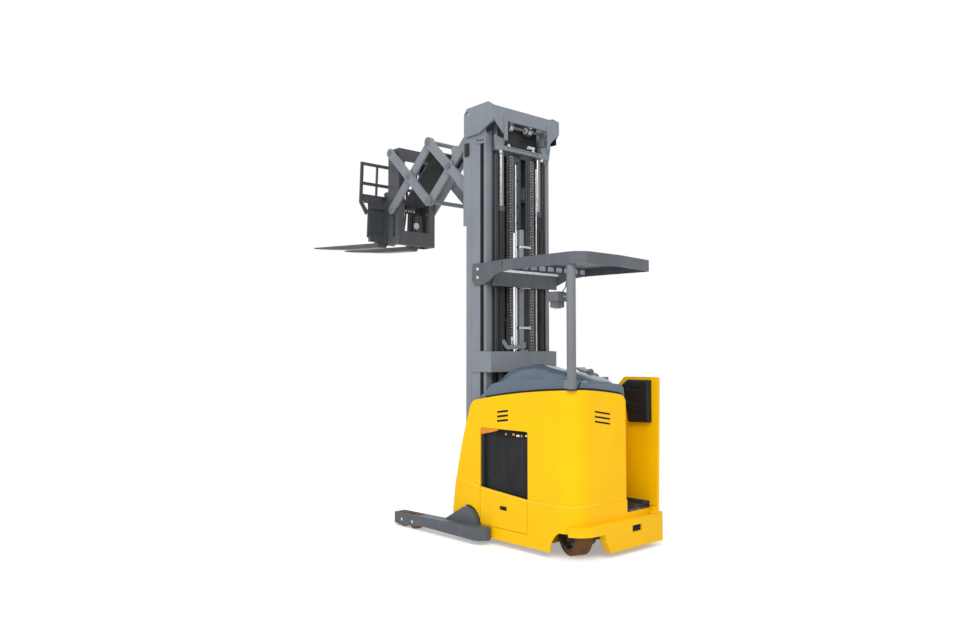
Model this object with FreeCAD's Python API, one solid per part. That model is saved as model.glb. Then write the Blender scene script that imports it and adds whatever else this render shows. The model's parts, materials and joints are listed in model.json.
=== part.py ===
import FreeCAD, Part
import math
import os

V = FreeCAD.Vector

# A stand-up reach truck with a double pantograph, millimetres, +X towards the fork tips, +Y to the
# left, +Z up.  Lengths along the truck are measured from the back face of the rear bumper, and the
# finished solids are moved so that the origin is on the floor under the middle of the truck.

# Driving sizes: truck
overall_width = 1200.0
body_width = 944.0
skin = 6.0
belt_step = 5.0
body_lip = 45.0
running_gap = 7.0
hood_gap = 2.0
plate_gap = 6.0

# Driving sizes: chassis and body
bumper_depth = 60.0
bumper_low = 43.0
bumper_high = 262.0
bumper_flare = 84.0
corner_radius = 175.0
floor_high = 300.0
floor_plate = 15.0
cab_left = -140.0
cab_length = 400.0
panel_thick = 26.0
pad_thick = 46.0
skirt_low = 48.0
body_high_rear = 1264.0
body_high_front = 1150.0
hood_high = 1340.0
hood_wall = 8.0
wheel_arch_high = 205.0
bumper_notch_high = 190.0
vent_high = 13.0
bay_rear = 565.0
bay_length = 485.0
bay_high = 1110.0
bulkhead = 12.0
battery_length = 486.0
battery_side_gap = 32.0
battery_height = 775.0
battery_floor_high = 145.0
opening_high = 926.0
opening_length = 534.0
gate_low = 145.0
gate_high_rear = 405.0
gate_high_front = 446.0
gate_gap = 4.0

# Driving sizes: legs and load wheels
leg_width = 115.0
leg_wall = 12.0
leg_rear = 940.0
leg_end_radius = 100.0
leg_front = 2086.0
leg_low = 43.0
leg_high_rear = 137.0
leg_high_front = 117.0
load_wheel_dia = 127.0
load_wheel_width = 80.0
load_axle_dia = 20.0
load_wheel_front = 1978.0
load_wheel_pitch = 150.0
dome_rear = 1092.0
dome_peak_x = 1246.0
dome_front = 1513.0
dome_low = 118.0
dome_high = 264.0

# Driving sizes: drive unit and caster
drive_x = 272.0
drive_y = 231.0
drive_dia = 330.0
drive_width = 133.0
drive_rim_dia = 250.0
drive_turned = -20.0
drive_plate_high = 440.0
motor_dia = 220.0
motor_height = 380.0
caster_x = 235.0
caster_y = -300.0
caster_dia = 178.0
caster_width = 50.0
caster_split = 24.0
caster_trail = 45.0

# Driving sizes: mast
mast_rear = 1108.0
mast_inset = 86.0
rail_depth = 182.0
rail_flange = 18.0
outer_web = 14.0
inner_web = 10.0
outer_reach = 66.0
rail_low = 60.0
rail_high = 3440.0
side_plate = 12.0
side_plate_rear = 1175.0
side_plate_front = 1357.0
side_plate_upper_front = 1397.0
side_plate_upper_drop = 810.0
crown_overlap = 45.0
crown_rise = 210.0
crown_beam_rise = 60.0
crown_beam_height = 110.0
crown_rear = 997.0
crown_plate = 22.0
lifting_eye_x = 1325.0
lifting_eye_dia = 36.0
brace_low = 1376.0
brace_high = 1548.0
brace_rear = 1033.0
brace_front = 1271.0
brace_plate = 15.0
brace_wrap = 13.0
rail_overlap = 1040.0
lift_barrel_dia = 62.0
lift_rod_dia = 50.0
lift_inset = 94.0
tie_bar_drop = 178.0
tie_bar_height = 40.0
free_barrel_dia = 75.0
free_rod_dia = 56.0
free_x = 1225.0
bar_least = 90.0
hose_tube_dia = 60.0
hose_tube_x = 1085.0
hose_plate_length = 660.0

# Driving sizes: overhead guard
guard_high = 2290.0
guard_band = 90.0
guard_plate = 14.0
guard_rear = 0.0
guard_rib_x = 722.0
guard_rib_low = 2196.0
guard_arch_count = 9
guard_arch_width = 88.0
guard_bar_dia = 18.0
guard_roof_low = 2262.0
guard_tip_flare = 27.0
header_x = 1014.0
header_low = 2093.0
header_high = 2211.0
post_dia = 70.0
post_x = 130.0
post_y = 425.0

# Driving sizes: pantograph
link_length = 820.0
link_lean = 47.0
link_width = 88.0
link_plate = 22.0
link_pin_dia = 40.0
lean_least = 13.0
lean_most = 51.0
lever_reach = 290.0
lever_angle = 18.0
eye_reach = 343.0
eye_angle = 12.0
pivot_rear = 1430.0
pivot_rise = 70.0
frame_plate = 22.0
frame_opening = 73.0
frame_flange = 20.0
frame_drop = 910.0
frame_rise = 50.0

# Driving sizes: fork carriage
fork_length = 1220.0
fork_width = 120.0
fork_thick = 45.0
fork_tip_thick = 12.0
fork_spread = 400.0
fork_shank_high = 480.0
fork_tilt = 3.0
backrest_width = 968.0
backrest_high = 786.0
backrest_post = 30.0
carriage_bar = 40.0
carriage_drop = 870.0
tilt_drop = 390.0


def box(x, y, z):
    """A block between low and high corners given as one pair for each axis."""
    return Part.makeBox(x[1] - x[0], y[1] - y[0], z[1] - z[0], V(x[0], y[0], z[0]))


def side_prism(points, y):
    """A profile of (x, z) points drawn on the side view and carried across from y[0] to y[1]."""
    wire = Part.makePolygon([V(px, y[0], pz) for px, pz in points] + [V(points[0][0], y[0], points[0][1])])
    return Part.Face(wire).extrude(V(0, y[1] - y[0], 0))


def plan_prism(points, z):
    """A profile of (x, y) points drawn on the plan and carried up from z[0] to z[1]."""
    wire = Part.makePolygon([V(px, py, z[0]) for px, py in points] + [V(points[0][0], points[0][1], z[0])])
    return Part.Face(wire).extrude(V(0, 0, z[1] - z[0]))


def rear_prism(points, x):
    """A profile of (y, z) points drawn on the rear view and carried forward from x[0] to x[1]."""
    wire = Part.makePolygon([V(x[0], py, pz) for py, pz in points] + [V(x[0], points[0][0], points[0][1])])
    return Part.Face(wire).extrude(V(x[1] - x[0], 0, 0))


def rod(start, end, dia):
    """A round bar between two points."""
    run = end - start
    return Part.makeCylinder(dia / 2, run.Length, start, run)


def tube(start, end, dia, bore):
    """A round tube between two points."""
    return rod(start, end, dia).cut(rod(start, end, bore))


def fused(shapes):
    """One solid out of pieces that touch or overlap."""
    whole = shapes[0]
    for shape in shapes[1:]:
        whole = whole.fuse(shape)
    return whole.removeSplitter()


def cut_all(shape, tools):
    """Take every tool away from a shape."""
    for tool in tools:
        shape = shape.cut(tool)
    return shape


def mirrored(shape):
    """The same piece on the other side of the truck."""
    return shape.mirror(V(0, 0, 0), V(0, 1, 0))


def turned(shape, about, axis, degrees):
    """A copy turned about a point and an axis."""
    copy = shape.copy()
    copy.rotate(about, axis, degrees)
    return copy


# Places worked out from the driving sizes
body_half = body_width / 2
leg_outer = overall_width / 2
leg_inner = leg_outer - leg_width
cab_front = bumper_depth + cab_length
bay_front = bay_rear + bay_length
opening_rear = bay_rear - 18
opening_front = opening_rear + opening_length + 8
battery_width = body_width - 2 * battery_side_gap
mast_half = body_half - mast_inset
mast_front = mast_rear + rail_depth
crown_low = rail_high - crown_overlap
crown_high = rail_high + crown_rise
crown_beam_low = rail_high + crown_beam_rise
crown_beam_high = crown_beam_low + crown_beam_height
lifting_eye_high = crown_high - 54
pivot_high = rail_high + pivot_rise
frame_low = pivot_high - frame_drop
frame_high = pivot_high + frame_rise
tilt_high = pivot_high - tilt_drop
bar_low = pivot_high - carriage_drop
lift_stroke = rail_high - rail_overlap
carriage_stroke = bar_low - bar_least
mid_top_low = rail_high - tie_bar_drop
across = V(0, 1, 0)
upward = V(0, 0, 1)
dome_right = cab_left + 14
dome_sections = [(88, 316, -40, 1330), (130, 352, -90, 1352), (193, 386, dome_right, 1376),
                 (362, 398, dome_right, 1406), (593, 394, dome_right, 1441), (735, 388, dome_right, 1436),
                 (852, 380, dome_right, 1416), (987, 362, dome_right, 1350), (1024, 350, dome_right, 1322)]


def rounded_outline(corners, z):
    """A closed plan outline through (x, y, radius) corners, each rounded by its own radius."""
    starts = []
    middles = []
    ends = []
    count = len(corners)
    for number in range(count):
        x, y, radius = corners[number]
        back = V(corners[number - 1][0] - x, corners[number - 1][1] - y, 0)
        ahead = V(corners[(number + 1) % count][0] - x, corners[(number + 1) % count][1] - y, 0)
        back.normalize()
        ahead.normalize()
        half_angle = back.getAngle(ahead) / 2
        inwards = back + ahead
        inwards.normalize()
        at = V(x, y, z)
        starts.append(at + back * (radius / math.tan(half_angle)))
        ends.append(at + ahead * (radius / math.tan(half_angle)))
        middles.append(at + inwards * (radius / math.sin(half_angle) - radius))
    edges = []
    for number in range(count):
        edges.append(Part.Arc(starts[number], middles[number], ends[number]).toShape())
        edges.append(Part.makeLine(ends[number], starts[(number + 1) % count]))
    return Part.Wire(edges)


def body_profile():
    """The side view of the body skins: sloping top, raked front edge and straight skirt."""
    top = Part.Arc(V(1140, 0, body_high_front), V(640, 0, body_high_front + 72),
                   V(0, 0, body_high_rear)).toShape()
    nose = Part.Arc(V(1425, 0, skirt_low + 160), V(1352, 0, 640), V(1225, 0, 1060)).toShape()
    cheek = Part.Arc(V(1225, 0, 1060), V(1196, 0, 1122), V(1140, 0, body_high_front)).toShape()
    edges = [nose, cheek, top,
             Part.makeLine(V(0, 0, body_high_rear), V(0, 0, skirt_low)),
             Part.makeLine(V(0, 0, skirt_low), V(1425, 0, skirt_low)),
             Part.makeLine(V(1425, 0, skirt_low), V(1425, 0, skirt_low + 160))]
    face = Part.Face(Part.Wire(edges))
    face.translate(V(0, -body_half - 20, 0))
    return face.extrude(V(0, body_width + 40, 0))


def rear_view_region(high, right, x):
    """Everything under a top line that, seen from behind, falls and rounds off to the right."""
    left = body_half + 20
    top_left = V(x[0], left, high + 4)
    shoulder = V(x[0], right + 70, high - 48)
    end = V(x[0], right, high - 132)
    edges = [Part.Arc(top_left, V(x[0], 50, high - 31), shoulder).toShape(),
             Part.Arc(shoulder, V(x[0], right + 20, high - 78), end).toShape(),
             Part.makeLine(end, V(x[0], right, 0)),
             Part.makeLine(V(x[0], right, 0), V(x[0], left, 0)),
             Part.makeLine(V(x[0], left, 0), top_left)]
    return Part.Face(Part.Wire(edges)).extrude(V(x[1] - x[0], 0, 0))


def shell_region(inset, z):
    """The plan of the drive compartment, rounded at its rear corner, moved inwards by inset."""
    rear = bumper_depth + inset
    side = body_half - inset
    radius = corner_radius - inset
    inner = cab_left + inset
    mid = radius * (1 - math.sqrt(0.5))
    edges = [Part.makeLine(V(1500, side, 0), V(rear + radius, side, 0)),
             Part.Arc(V(rear + radius, side, 0), V(rear + mid, side - mid, 0),
                      V(rear, side - radius, 0)).toShape(),
             Part.makeLine(V(rear, side - radius, 0), V(rear, inner, 0)),
             Part.makeLine(V(rear, inner, 0), V(1500, inner, 0)),
             Part.makeLine(V(1500, inner, 0), V(1500, side, 0))]
    face = Part.Face(Part.Wire(edges))
    face.translate(V(0, 0, z[0]))
    return face.extrude(V(0, 0, z[1] - z[0]))


def belt_region():
    """The lower part of the body, below the crease that falls towards the rear."""
    crease = Part.Arc(V(1450, 0, 506), V(640, 0, 416), V(-10, 0, 398)).toShape()
    edges = [crease, Part.makeLine(V(-10, 0, 398), V(-10, 0, 0)), Part.makeLine(V(-10, 0, 0), V(1450, 0, 0)),
             Part.makeLine(V(1450, 0, 0), V(1450, 0, 506))]
    face = Part.Face(Part.Wire(edges))
    face.translate(V(0, -body_half - 20, 0))
    return face.extrude(V(0, body_width + 40, 0))


def dome_prism(grow, y):
    """The half-round swell over the root of a leg, grown by a margin, with its straight front slope."""
    peak = V(dome_peak_x, y[0], dome_high + grow)
    rear = V(dome_rear - grow, y[0], dome_low)
    front = V(dome_front + grow * 2, y[0], dome_low)
    bulge = V(dome_rear + 38 - grow * 0.8, y[0], dome_high - 44 + grow * 0.6)
    edges = [Part.Arc(rear, bulge, peak).toShape(), Part.makeLine(peak, front), Part.makeLine(front, rear)]
    return Part.Face(Part.Wire(edges)).extrude(V(0, y[1] - y[0], 0))


def battery_window(side):
    """The battery opening with round corners, as a block across one side skin."""
    low = gate_low - gate_gap
    plan = rounded_outline([(opening_rear, low, 6), (opening_front, low, 6), (opening_front, opening_high, 19),
                            (opening_rear, opening_high, 19)], 0.0)
    block = Part.Face(plan).extrude(V(0, 0, side[1] - side[0]))
    block.rotate(V(0, 0, 0), V(1, 0, 0), 90)
    block.translate(V(0, side[1], 0))
    return block


def side_openings(side):
    """Everything cut through a side skin: the battery opening with its gate, the leg's swell, the vents."""
    openings = [battery_window(side),
                dome_prism(14.0, side),
                box((dome_rear - 14, 1500), side, (0, dome_low + 1))]
    for row in range(3):
        low = 982 + row * 36
        openings.append(side_prism([(767, low + 16), (885, low), (885, low + vent_high),
                                    (767, low + 16 + vent_high)], side))
    return openings


def wheel_arch(y):
    """The opening over the drive wheel, with a round shoulder at its front upper corner."""
    front = Part.Arc(V(312, y[0], 60), V(280, y[0], wheel_arch_high - 50), V(220, y[0], wheel_arch_high))
    edges = [Part.makeLine(V(-20, y[0], 0), V(322, y[0], 0)),
             Part.makeLine(V(322, y[0], 0), V(312, y[0], 60)),
             front.toShape(),
             Part.makeLine(V(220, y[0], wheel_arch_high), V(-20, y[0], wheel_arch_high)),
             Part.makeLine(V(-20, y[0], wheel_arch_high), V(-20, y[0], 0))]
    return Part.Face(Part.Wire(edges)).extrude(V(0, y[1] - y[0], 0))


def body_shell():
    """Left skin, rounded rear corner, rear skin and the inner wall of the operator's compartment."""
    high = (0.0, 1400.0)
    upper = shell_region(belt_step, high)
    lower = shell_region(0.0, high).common(belt_region())
    wall = upper.fuse(lower).cut(shell_region(belt_step + skin, (-10.0, 1410.0)))
    outside = body_profile().common(rear_view_region(body_high_rear, cab_left, (-10, 1500)))
    lip = shell_region(belt_step + 1, high).cut(shell_region(belt_step + body_lip, (-10.0, 1410.0)))
    lip = lip.common(outside).cut(outside.translated(V(0, 0, -skin)))
    wall = wall.fuse(lip.common(box((0, brace_rear), (-body_half, body_half), (1000, 1400))))
    wall = wall.cut(box((cab_front, 1600), (cab_left - 20, cab_left + 60), (-10, 1500)))
    wall = wall.common(outside)
    openings = side_openings((body_half - 40, body_half + 40))
    openings.append(wheel_arch((125, body_half + 40)))
    for row in range(3):
        low = 1018 + row * 37
        openings.append(rear_prism([(62, low - 27), (235, low), (235, low + 10), (62, low - 17)], (-20, 90)))
    return cut_all(wall, openings).removeSplitter()


def right_skin():
    """Right skin, ahead of the operator's compartment, open for the battery as on the left."""
    y = (-body_half + belt_step, -body_half + belt_step + skin)
    upper = box((cab_front, 1500), y, (0, 1400))
    lower = box((cab_front, 1500), (-body_half, y[1]), (0, 1400)).common(belt_region())
    lip = box((cab_front, brace_rear), (y[0], -body_half + body_lip), (1000, 1400))
    lip = lip.cut(body_profile().translated(V(0, 0, -skin)))
    wall = fused([upper, lower, lip]).common(body_profile())
    return cut_all(wall, side_openings((-body_half - 40, -body_half + 40))).removeSplitter()


def battery_gate():
    """Lift-off gate that fills the lower part of the battery opening, with an oval latch recess."""
    rear = opening_rear + gate_gap
    front = rear + opening_length
    y = (body_half - belt_step - skin, body_half - 1)
    gate = side_prism([(rear, gate_low), (front - 14, gate_low), (front, gate_low + 14), (front, gate_high_front),
                       (rear, gate_high_rear)], y)
    recess = box((776, 856), (body_half - 7, body_half + 2), (288, 320))
    return gate.cut(recess)


def chassis_frame():
    """Bulkheads, battery floor, operator's floor, drive plate and the beam under the mast."""
    half = body_half - belt_step - skin - 1
    pieces = [box((cab_front + 8, cab_front + 8 + bulkhead), (-half, half), (skirt_low + 12, bay_high)),
              box((bay_front, bay_front + bulkhead), (-half, half), (skirt_low + 12, bay_high)),
              box((cab_front + 8, bay_front + bulkhead), (-half, half),
                  (battery_floor_high - 20, battery_floor_high)),
              box((bumper_depth + 8, cab_front + 8), (-body_half + 28, cab_left - 1),
                  (floor_high - floor_plate, floor_high)),
              box((bumper_depth + 14, cab_front + 10), (cab_left + 14, half),
                  (drive_plate_high - 20, drive_plate_high)).common(shell_region(belt_step + skin + 1, (0, 1000))),
              box((bumper_depth + 1, bumper_depth + 9), (-body_half + 28, cab_left - 1),
                  (bumper_high - 30, floor_high)),
              box((bay_front, mast_rear), (-mast_half + 2, mast_half - 2), (skirt_low + 12, 250))]
    jamb_z = (gate_low + 30, opening_high + 40)
    jamb = box((opening_front - 1, opening_front + 11), (mast_half - 40, half), jamb_z)
    jamb = jamb.fuse(box((bay_front, opening_front), (mast_half - 40, mast_half - 28), jamb_z))
    pieces += [jamb, mirrored(jamb)]
    frame = fused(pieces)
    steer_bore = rod(V(drive_x, drive_y, drive_plate_high - 30), V(drive_x, drive_y, drive_plate_high + 10), 150)
    return frame.cut(steer_bore)


def battery():
    """The battery, one plain block."""
    middle = bay_front - 2 - battery_length / 2
    return box((middle - battery_length / 2, middle + battery_length / 2),
               (-battery_width / 2, battery_width / 2),
               (battery_floor_high, battery_floor_high + battery_height))


def bumper_region(inset, z):
    """Plan of the rear bumper: a wide sweep round the left corner and a flared right corner."""
    left = body_half - inset
    right = -body_half - bumper_flare + inset
    rear = inset
    front = cab_front
    radius = 60.0
    mid = radius * (1 - math.sqrt(0.5))
    edges = [Part.makeLine(V(front, left, 0), V(130, left, 0)),
             Part.Arc(V(130, left, 0), V(38 + inset * 0.8, 412 - inset * 0.4, 0), V(rear, 300, 0)).toShape(),
             Part.makeLine(V(rear, 300, 0), V(rear, right + radius, 0)),
             Part.Arc(V(rear, right + radius, 0), V(rear + mid, right + mid, 0), V(rear + radius, right, 0)).toShape(),
             Part.makeLine(V(rear + radius, right, 0), V(front, right, 0)),
             Part.makeLine(V(front, right, 0), V(front, left, 0))]
    face = Part.Face(Part.Wire(edges))
    face.translate(V(0, 0, z[0]))
    return face.extrude(V(0, 0, z[1] - z[0]))


def rear_bumper():
    """Heavy steel bumper with a notch over the drive wheel and a small recess."""
    whole = bumper_region(0.0, (bumper_low, bumper_high))
    inner = plan_prism([(bumper_depth, -body_half + 10), (500, -body_half + 10), (500, 600), (130, 600),
                        (130, body_half), (118, 440), (bumper_depth, 300)], (0, 400))
    wall = whole.cut(inner).cut(shell_region(0.0, (0, 400)))
    tools = [rear_prism([(110, 0), (190, 130), (205, bumper_notch_high), (520, bumper_notch_high), (520, 0)], (-20, 400)),
             rear_prism([(-body_half - 32, 0), (-body_half - bumper_flare - 8, 125), (-700, 125), (-700, 0)],
                        (-20, 600)),
             box((-10, 14), (-242, -125), (160, 212))]
    return cut_all(wall, tools).removeSplitter()


def right_side_panel():
    """Thick panel behind the operator's back, from the bumper to shoulder height."""
    points = [(2, bumper_high), (cab_front - 2, bumper_high), (cab_front - 2, 1214), (376, 1279), (325, 1331),
              (309, 1339), (-4, 1342), (-16, 1336), (-18, 1322)]
    return side_prism(points, (-body_half, -body_half + panel_thick))


def floor_mat():
    """Rubber mat on the operator's floor."""
    return box((bumper_depth + 10, cab_front), (-body_half + 30, cab_left - 3), (floor_high, floor_high + 14))


def back_pad():
    """Padded back rest on the inner face of the right panel."""
    y0 = -body_half + panel_thick + 0.3
    points = [(37, 975), (48, 970), (245, 962), (264, 980), (327, 1276), (268, 1322), (256, 1326), (45, 1327),
              (37, 1318)]
    return side_prism(points, (y0, y0 + pad_thick - 0.3))


def hood_top_line():
    """Silhouette of the lower cover from its front edge to its rear edge."""
    return [(1124, 1159), (984, 1280), (946, 1291), (841, 1309), (625, 1330), (379, 1336), (184, 1334),
            (110, 1329), (92, 1318), (66, 1240)]


def hood_tier(inset, z):
    """Plan of the lower cover at one height; ears at its front stand beside the mast."""
    left = body_half - 8 - inset
    inner = cab_left - 10
    notch = mast_half + brace_wrap + 6
    corners = [(1124, left, 12), (1124, notch, 4), (brace_rear - 6, notch, 4), (brace_rear - 6, -notch, 4),
               (1124, -notch, 4), (1124, -left, 12), (cab_front + 4, -left, 12), (cab_front + 4, inner, 12),
               (66 + inset * 0.5, inner, 30), (66 + inset * 0.5, left, 150)]
    return rounded_outline(corners, z)


def hood_block(shrink):
    """The lower cover as one block above the body's level, its sides and top moved in by shrink."""
    slab = side_prism(hood_top_line() + [(66, 1000), (1124, 1000)], (-body_half, body_half))
    slab.translate(V(0, 0, -shrink))
    falls = rear_view_region(hood_high - shrink, cab_left - 10 + shrink, (-10, 1500)).fuse(
        box((cab_front - 1, 1500), (-body_half, 0), (0, 1400)))
    plan = Part.makeLoft([hood_tier(shrink, 1100.0), hood_tier(38.0 + shrink, 1350.0)], True, True)
    return slab.common(falls).common(plan)


def dome_section(x, left, right, high):
    """One arch of the upper cover across the truck, highest left of its middle."""
    base = 1230.0
    rise = high - 1290.0
    top = Part.BSplineCurve()
    top.interpolate([V(x, left, base), V(x, left - 18, 1290 + rise * 0.25), V(x, left - 75, high - rise * 0.12),
                     V(x, (left + right) / 2 + 70, high), V(x, right + 150, high - rise * 0.3),
                     V(x, right + 40, high - rise * 0.75), V(x, right, base)])
    arch = top.toShape()
    return Part.Wire([arch, Part.makeLine(V(x, right, base), V(x, left, base))])


def dome_room():
    """The room under the upper cover, open below into the lower one."""
    rooms = []
    for x, left, right, high in dome_sections[1:-1]:
        outline = [(left - 14, 1200), (left - 32, 1290), (left - 84, high - 26), ((left + right) / 2 + 70, high - 12),
                   (right + 150, high - 50), (right + 52, 1300), (right + 14, 1200)]
        rooms.append(Part.makePolygon([V(x, y, z) for y, z in outline + [outline[0]]]))
    return Part.makeLoft(rooms, True, True)


def hood_lower():
    """Lower moulded cover: a shell that follows the sloping top of the body, with a boss round the post."""
    body_top = body_profile().common(
        rear_view_region(body_high_rear, cab_left, (-10, 1500)).fuse(
            box((cab_front - 20, 1500), (-body_half - 20, 0), (0, 1400))))
    solid = hood_block(0.0).cut(body_top.translated(V(0, 0, hood_gap)))
    room = box((0, brace_rear - 6 - hood_wall), (cab_left - 10 + hood_wall, body_half), (900, 1400)).fuse(
        box((cab_front + 4 + hood_wall, brace_rear - 6 - hood_wall), (-body_half, body_half), (900, 1400)))
    shell = solid.cut(hood_block(hood_wall).common(room)).cut(dome_room())
    post = (V(post_x, post_y, 1100), V(post_x, post_y, 1500))
    boss = rod(post[0], post[1], post_dia + 14 + 2 * hood_wall).common(solid)
    below = box((0, cab_front + 3), (cab_left - 40, cab_left + 1), (900, hood_high - 132))
    front = box((cab_front - 2, 1200), (-body_half, cab_left + 10), (900, 1130))
    return cut_all(shell.fuse(boss), [rod(post[0], post[1], post_dia + 14), below, front]).removeSplitter()


def hood_upper():
    """Upper moulded cover with the operator's console, a smooth hollow dome on the lower one."""
    dome = Part.makeLoft([dome_section(x, left, right, high) for x, left, right, high in dome_sections], True, False)
    notch = rod(V(post_x, post_y, 1100), V(post_x, post_y, 1500), post_dia + 14)
    side = box((0, 1500), (cab_left, body_half), (1100, 1500))
    return cut_all(dome.common(side), [hood_block(0.0), notch, dome_room()]).removeSplitter()


def control_handle():
    """Multi-function handle on the right of the console."""
    grip = side_prism([(212, 1280), (320, 1280), (318, 1366), (304, 1380), (232, 1376), (214, 1360)], (6, 92))
    above = cut_all(grip, [hood_upper(), hood_block(0.0), dome_room()])
    return max(above.Solids, key=lambda solid: solid.Volume)


def guard_rim():
    """Plan outline of the guard: wide at the back, drawn in to the mast's side plates at the front."""
    half = body_half
    arm = mast_half + guard_plate
    return [(side_plate_rear + 95, arm, 1), (side_plate_rear - 55, arm, 250), (840, half - 12, 250),
            (610, half, 250), (guard_rear, half, 130), (guard_rear, 0, 300),
            (guard_rear + 70, -half - guard_tip_flare, 65), (500, -half, 250), (840, -half + 12, 250),
            (side_plate_rear - 55, -arm, 250), (side_plate_rear + 95, -arm, 1)]


def arched_rib(low):
    """Cross rib of the guard under its roof plate, with a row of round-topped openings."""
    rib = box((guard_rib_x, guard_rib_x + 8), (-body_half - 20, body_half + 20), (low, guard_roof_low + 2))
    pitch = (body_width - 2 * guard_plate) / guard_arch_count
    top = guard_roof_low - 10
    bend = 22
    tools = []
    for number in range(guard_arch_count):
        y = (number - (guard_arch_count - 1) / 2) * pitch
        half = guard_arch_width / 2
        tools.append(box((guard_rib_x - 5, guard_rib_x + 15), (y - half, y + half), (low + 12, top - bend)))
        tools.append(box((guard_rib_x - 5, guard_rib_x + 15), (y - half + bend, y + half - bend), (low + 12, top)))
        for side in (-1, 1):
            corner = V(guard_rib_x - 5, y + side * (half - bend), top - bend)
            tools.append(rod(corner, corner + V(20, 0, 0), bend * 2))
    return cut_all(rib, tools)


def overhead_guard():
    """Roof frame: a bent rim with arched arms to the mast, a header, a rib, round bars and a roof plate."""
    outer = rounded_outline(guard_rim(), header_low - 10)
    height = guard_high - header_low + 10
    band = Part.Face(outer).cut(Part.Face(outer.makeOffset2D(-guard_plate))).extrude(V(0, 0, height))
    low = guard_high - guard_band
    side_view = side_prism([(-20, guard_high), (1262, guard_high), (1266, 2150), (1236, 2105), (1130, 2107),
                            (1035, 2132), (940, 2175), (850, 2192), (760, low), (-20, low)],
                           (-body_half - 40, body_half + 20))
    between_mast = box((side_plate_rear - 60, side_plate_rear + 100), (-mast_half, mast_half), (2000, 2400))
    joints = [box((834, 846), tuple(sorted((side * (body_half - 60), side * (body_half + 10)))),
                  (low + 26, guard_high + 1)) for side in (-1, 1)]
    rim = cut_all(band.common(side_view), [between_mast] + joints)
    room = Part.Face(outer.makeOffset2D(-guard_plate + 2)).extrude(V(0, 0, height))
    inside = [box((header_x, header_x + 12), (-body_half, body_half), (header_high - 2, guard_high - 14)),
              box((guard_rear, guard_rib_x + 8), (-body_half - 20, body_half), (guard_roof_low, guard_roof_low + 6)),
              arched_rib(guard_rib_low)]
    pitch = (body_width - 2 * guard_plate) / guard_arch_count
    for number in range(guard_arch_count - 1):
        y = (number - guard_arch_count / 2 + 1) * pitch
        inside.append(rod(V(guard_rib_x + 2, y, guard_roof_low + 3), V(header_x + 2, y, guard_roof_low + 3),
                          guard_bar_dia))
    header = box((header_x, header_x + 12), (-mast_half, mast_half), (header_low, header_high))
    return fused([rim, header] + [piece.common(room) for piece in inside])


def guard_post():
    """Round post from the rear left corner of the body to the guard."""
    post = rod(V(post_x, post_y, body_high_rear - 8), V(post_x, post_y, guard_high - guard_band), post_dia)
    post = post.cut(body_shell()).cut(overhead_guard())
    return max(post.Solids, key=lambda solid: solid.Volume)


def work_light():
    """Lamp box beside the post, its lens below a wider hood."""
    hood = box((225, 332), (365, 466), (1926, 1995))
    lens = box((240, 318), (378, 452), (1880, 1928))
    arm = box((post_x + post_dia / 2 - 2, 227), (post_y - 25, post_y - 5), (1950, 1970))
    return fused([hood, lens, arm]).cut(guard_post())


def outline(points, z):
    """Extrude a plan outline, dropping points that repeat."""
    kept = []
    for point in points:
        if not kept or (abs(point[0] - kept[-1][0]) + abs(point[1] - kept[-1][1])) > 1e-6:
            kept.append(point)
    return plan_prism(kept, z)


def rail(rear, web_out, web_in, reach_out, reach_in, z):
    """A rolled mast section: web between two flanges, its reach each side of the web given in y."""
    front = rear + rail_depth
    t = rail_flange
    points = [(rear, reach_out), (rear + t, reach_out), (rear + t, web_out), (front - t, web_out),
              (front - t, reach_out), (front, reach_out), (front, reach_in), (front - t, reach_in),
              (front - t, web_in), (rear + t, web_in), (rear + t, reach_in), (rear, reach_in)]
    return outline(points, z)


# Rail stack from the outside in: each rail stands one step further forward than the one around it
step = rail_flange + running_gap
mid_rear = mast_rear + step
inner_rear = mid_rear + step
outer_web_in = mast_half - outer_web
outer_edge = mast_half - outer_reach
mid_web_out = outer_edge - 6
mid_web_in = mid_web_out - inner_web
mid_reach_out = outer_web_in - 10
mid_reach_in = mid_web_in - 28
inner_web_out = mid_reach_in - 8
inner_web_in = inner_web_out - inner_web
inner_reach_out = mid_web_in - 6
inner_reach_in = inner_web_in - 36
frame_half = inner_reach_in + 6
frame_inner = frame_half - frame_opening
lift_y = outer_edge - lift_inset
tie_bar_front = 27.0


def outer_rail():
    """Left outer rail with the side plate on its front half."""
    channel = rail(mast_rear, mast_half, outer_web_in, mast_half, outer_edge, (rail_low, rail_high))
    recess = box((mast_rear + rail_flange, side_plate_rear), (mast_half - 4, mast_half + 1),
                 (rail_low - 1, rail_high + 1))
    plate = box((mast_front - 1, side_plate_front), (mast_half - side_plate, mast_half), (rail_low, rail_high))
    upper = box((mast_front - 1, side_plate_upper_front), (mast_half - side_plate, mast_half),
                (rail_high - side_plate_upper_drop, rail_high - 135))
    return fused([channel.cut(recess), plate, upper])


def mid_rail():
    """Left middle rail."""
    return rail(mid_rear, mid_web_out, mid_web_in, mid_reach_out, mid_reach_in, (rail_low + 10, rail_high))


def inner_rail():
    """Left inner rail."""
    return rail(inner_rear, inner_web_out, inner_web_in, inner_reach_out, inner_reach_in,
                (rail_low + 90, rail_high - 20))


def crown_cheek():
    """Left side plate of the crown, with its lifting eye."""
    half = mast_half + crown_plate
    cheek = side_prism([(1367, crown_high - 50), (1330, crown_high - 8), (1060, crown_high),
                        (crown_rear, crown_beam_high), (crown_rear, crown_beam_low), (1018, crown_beam_low - 30),
                        (1180, crown_low + 4), (1343, crown_low), (1367, crown_low + 25)], (mast_half, half))
    eye = rod(V(lifting_eye_x, mast_half - 5, lifting_eye_high), V(lifting_eye_x, half + 5, lifting_eye_high),
              lifting_eye_dia)
    return cheek.cut(eye)


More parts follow.
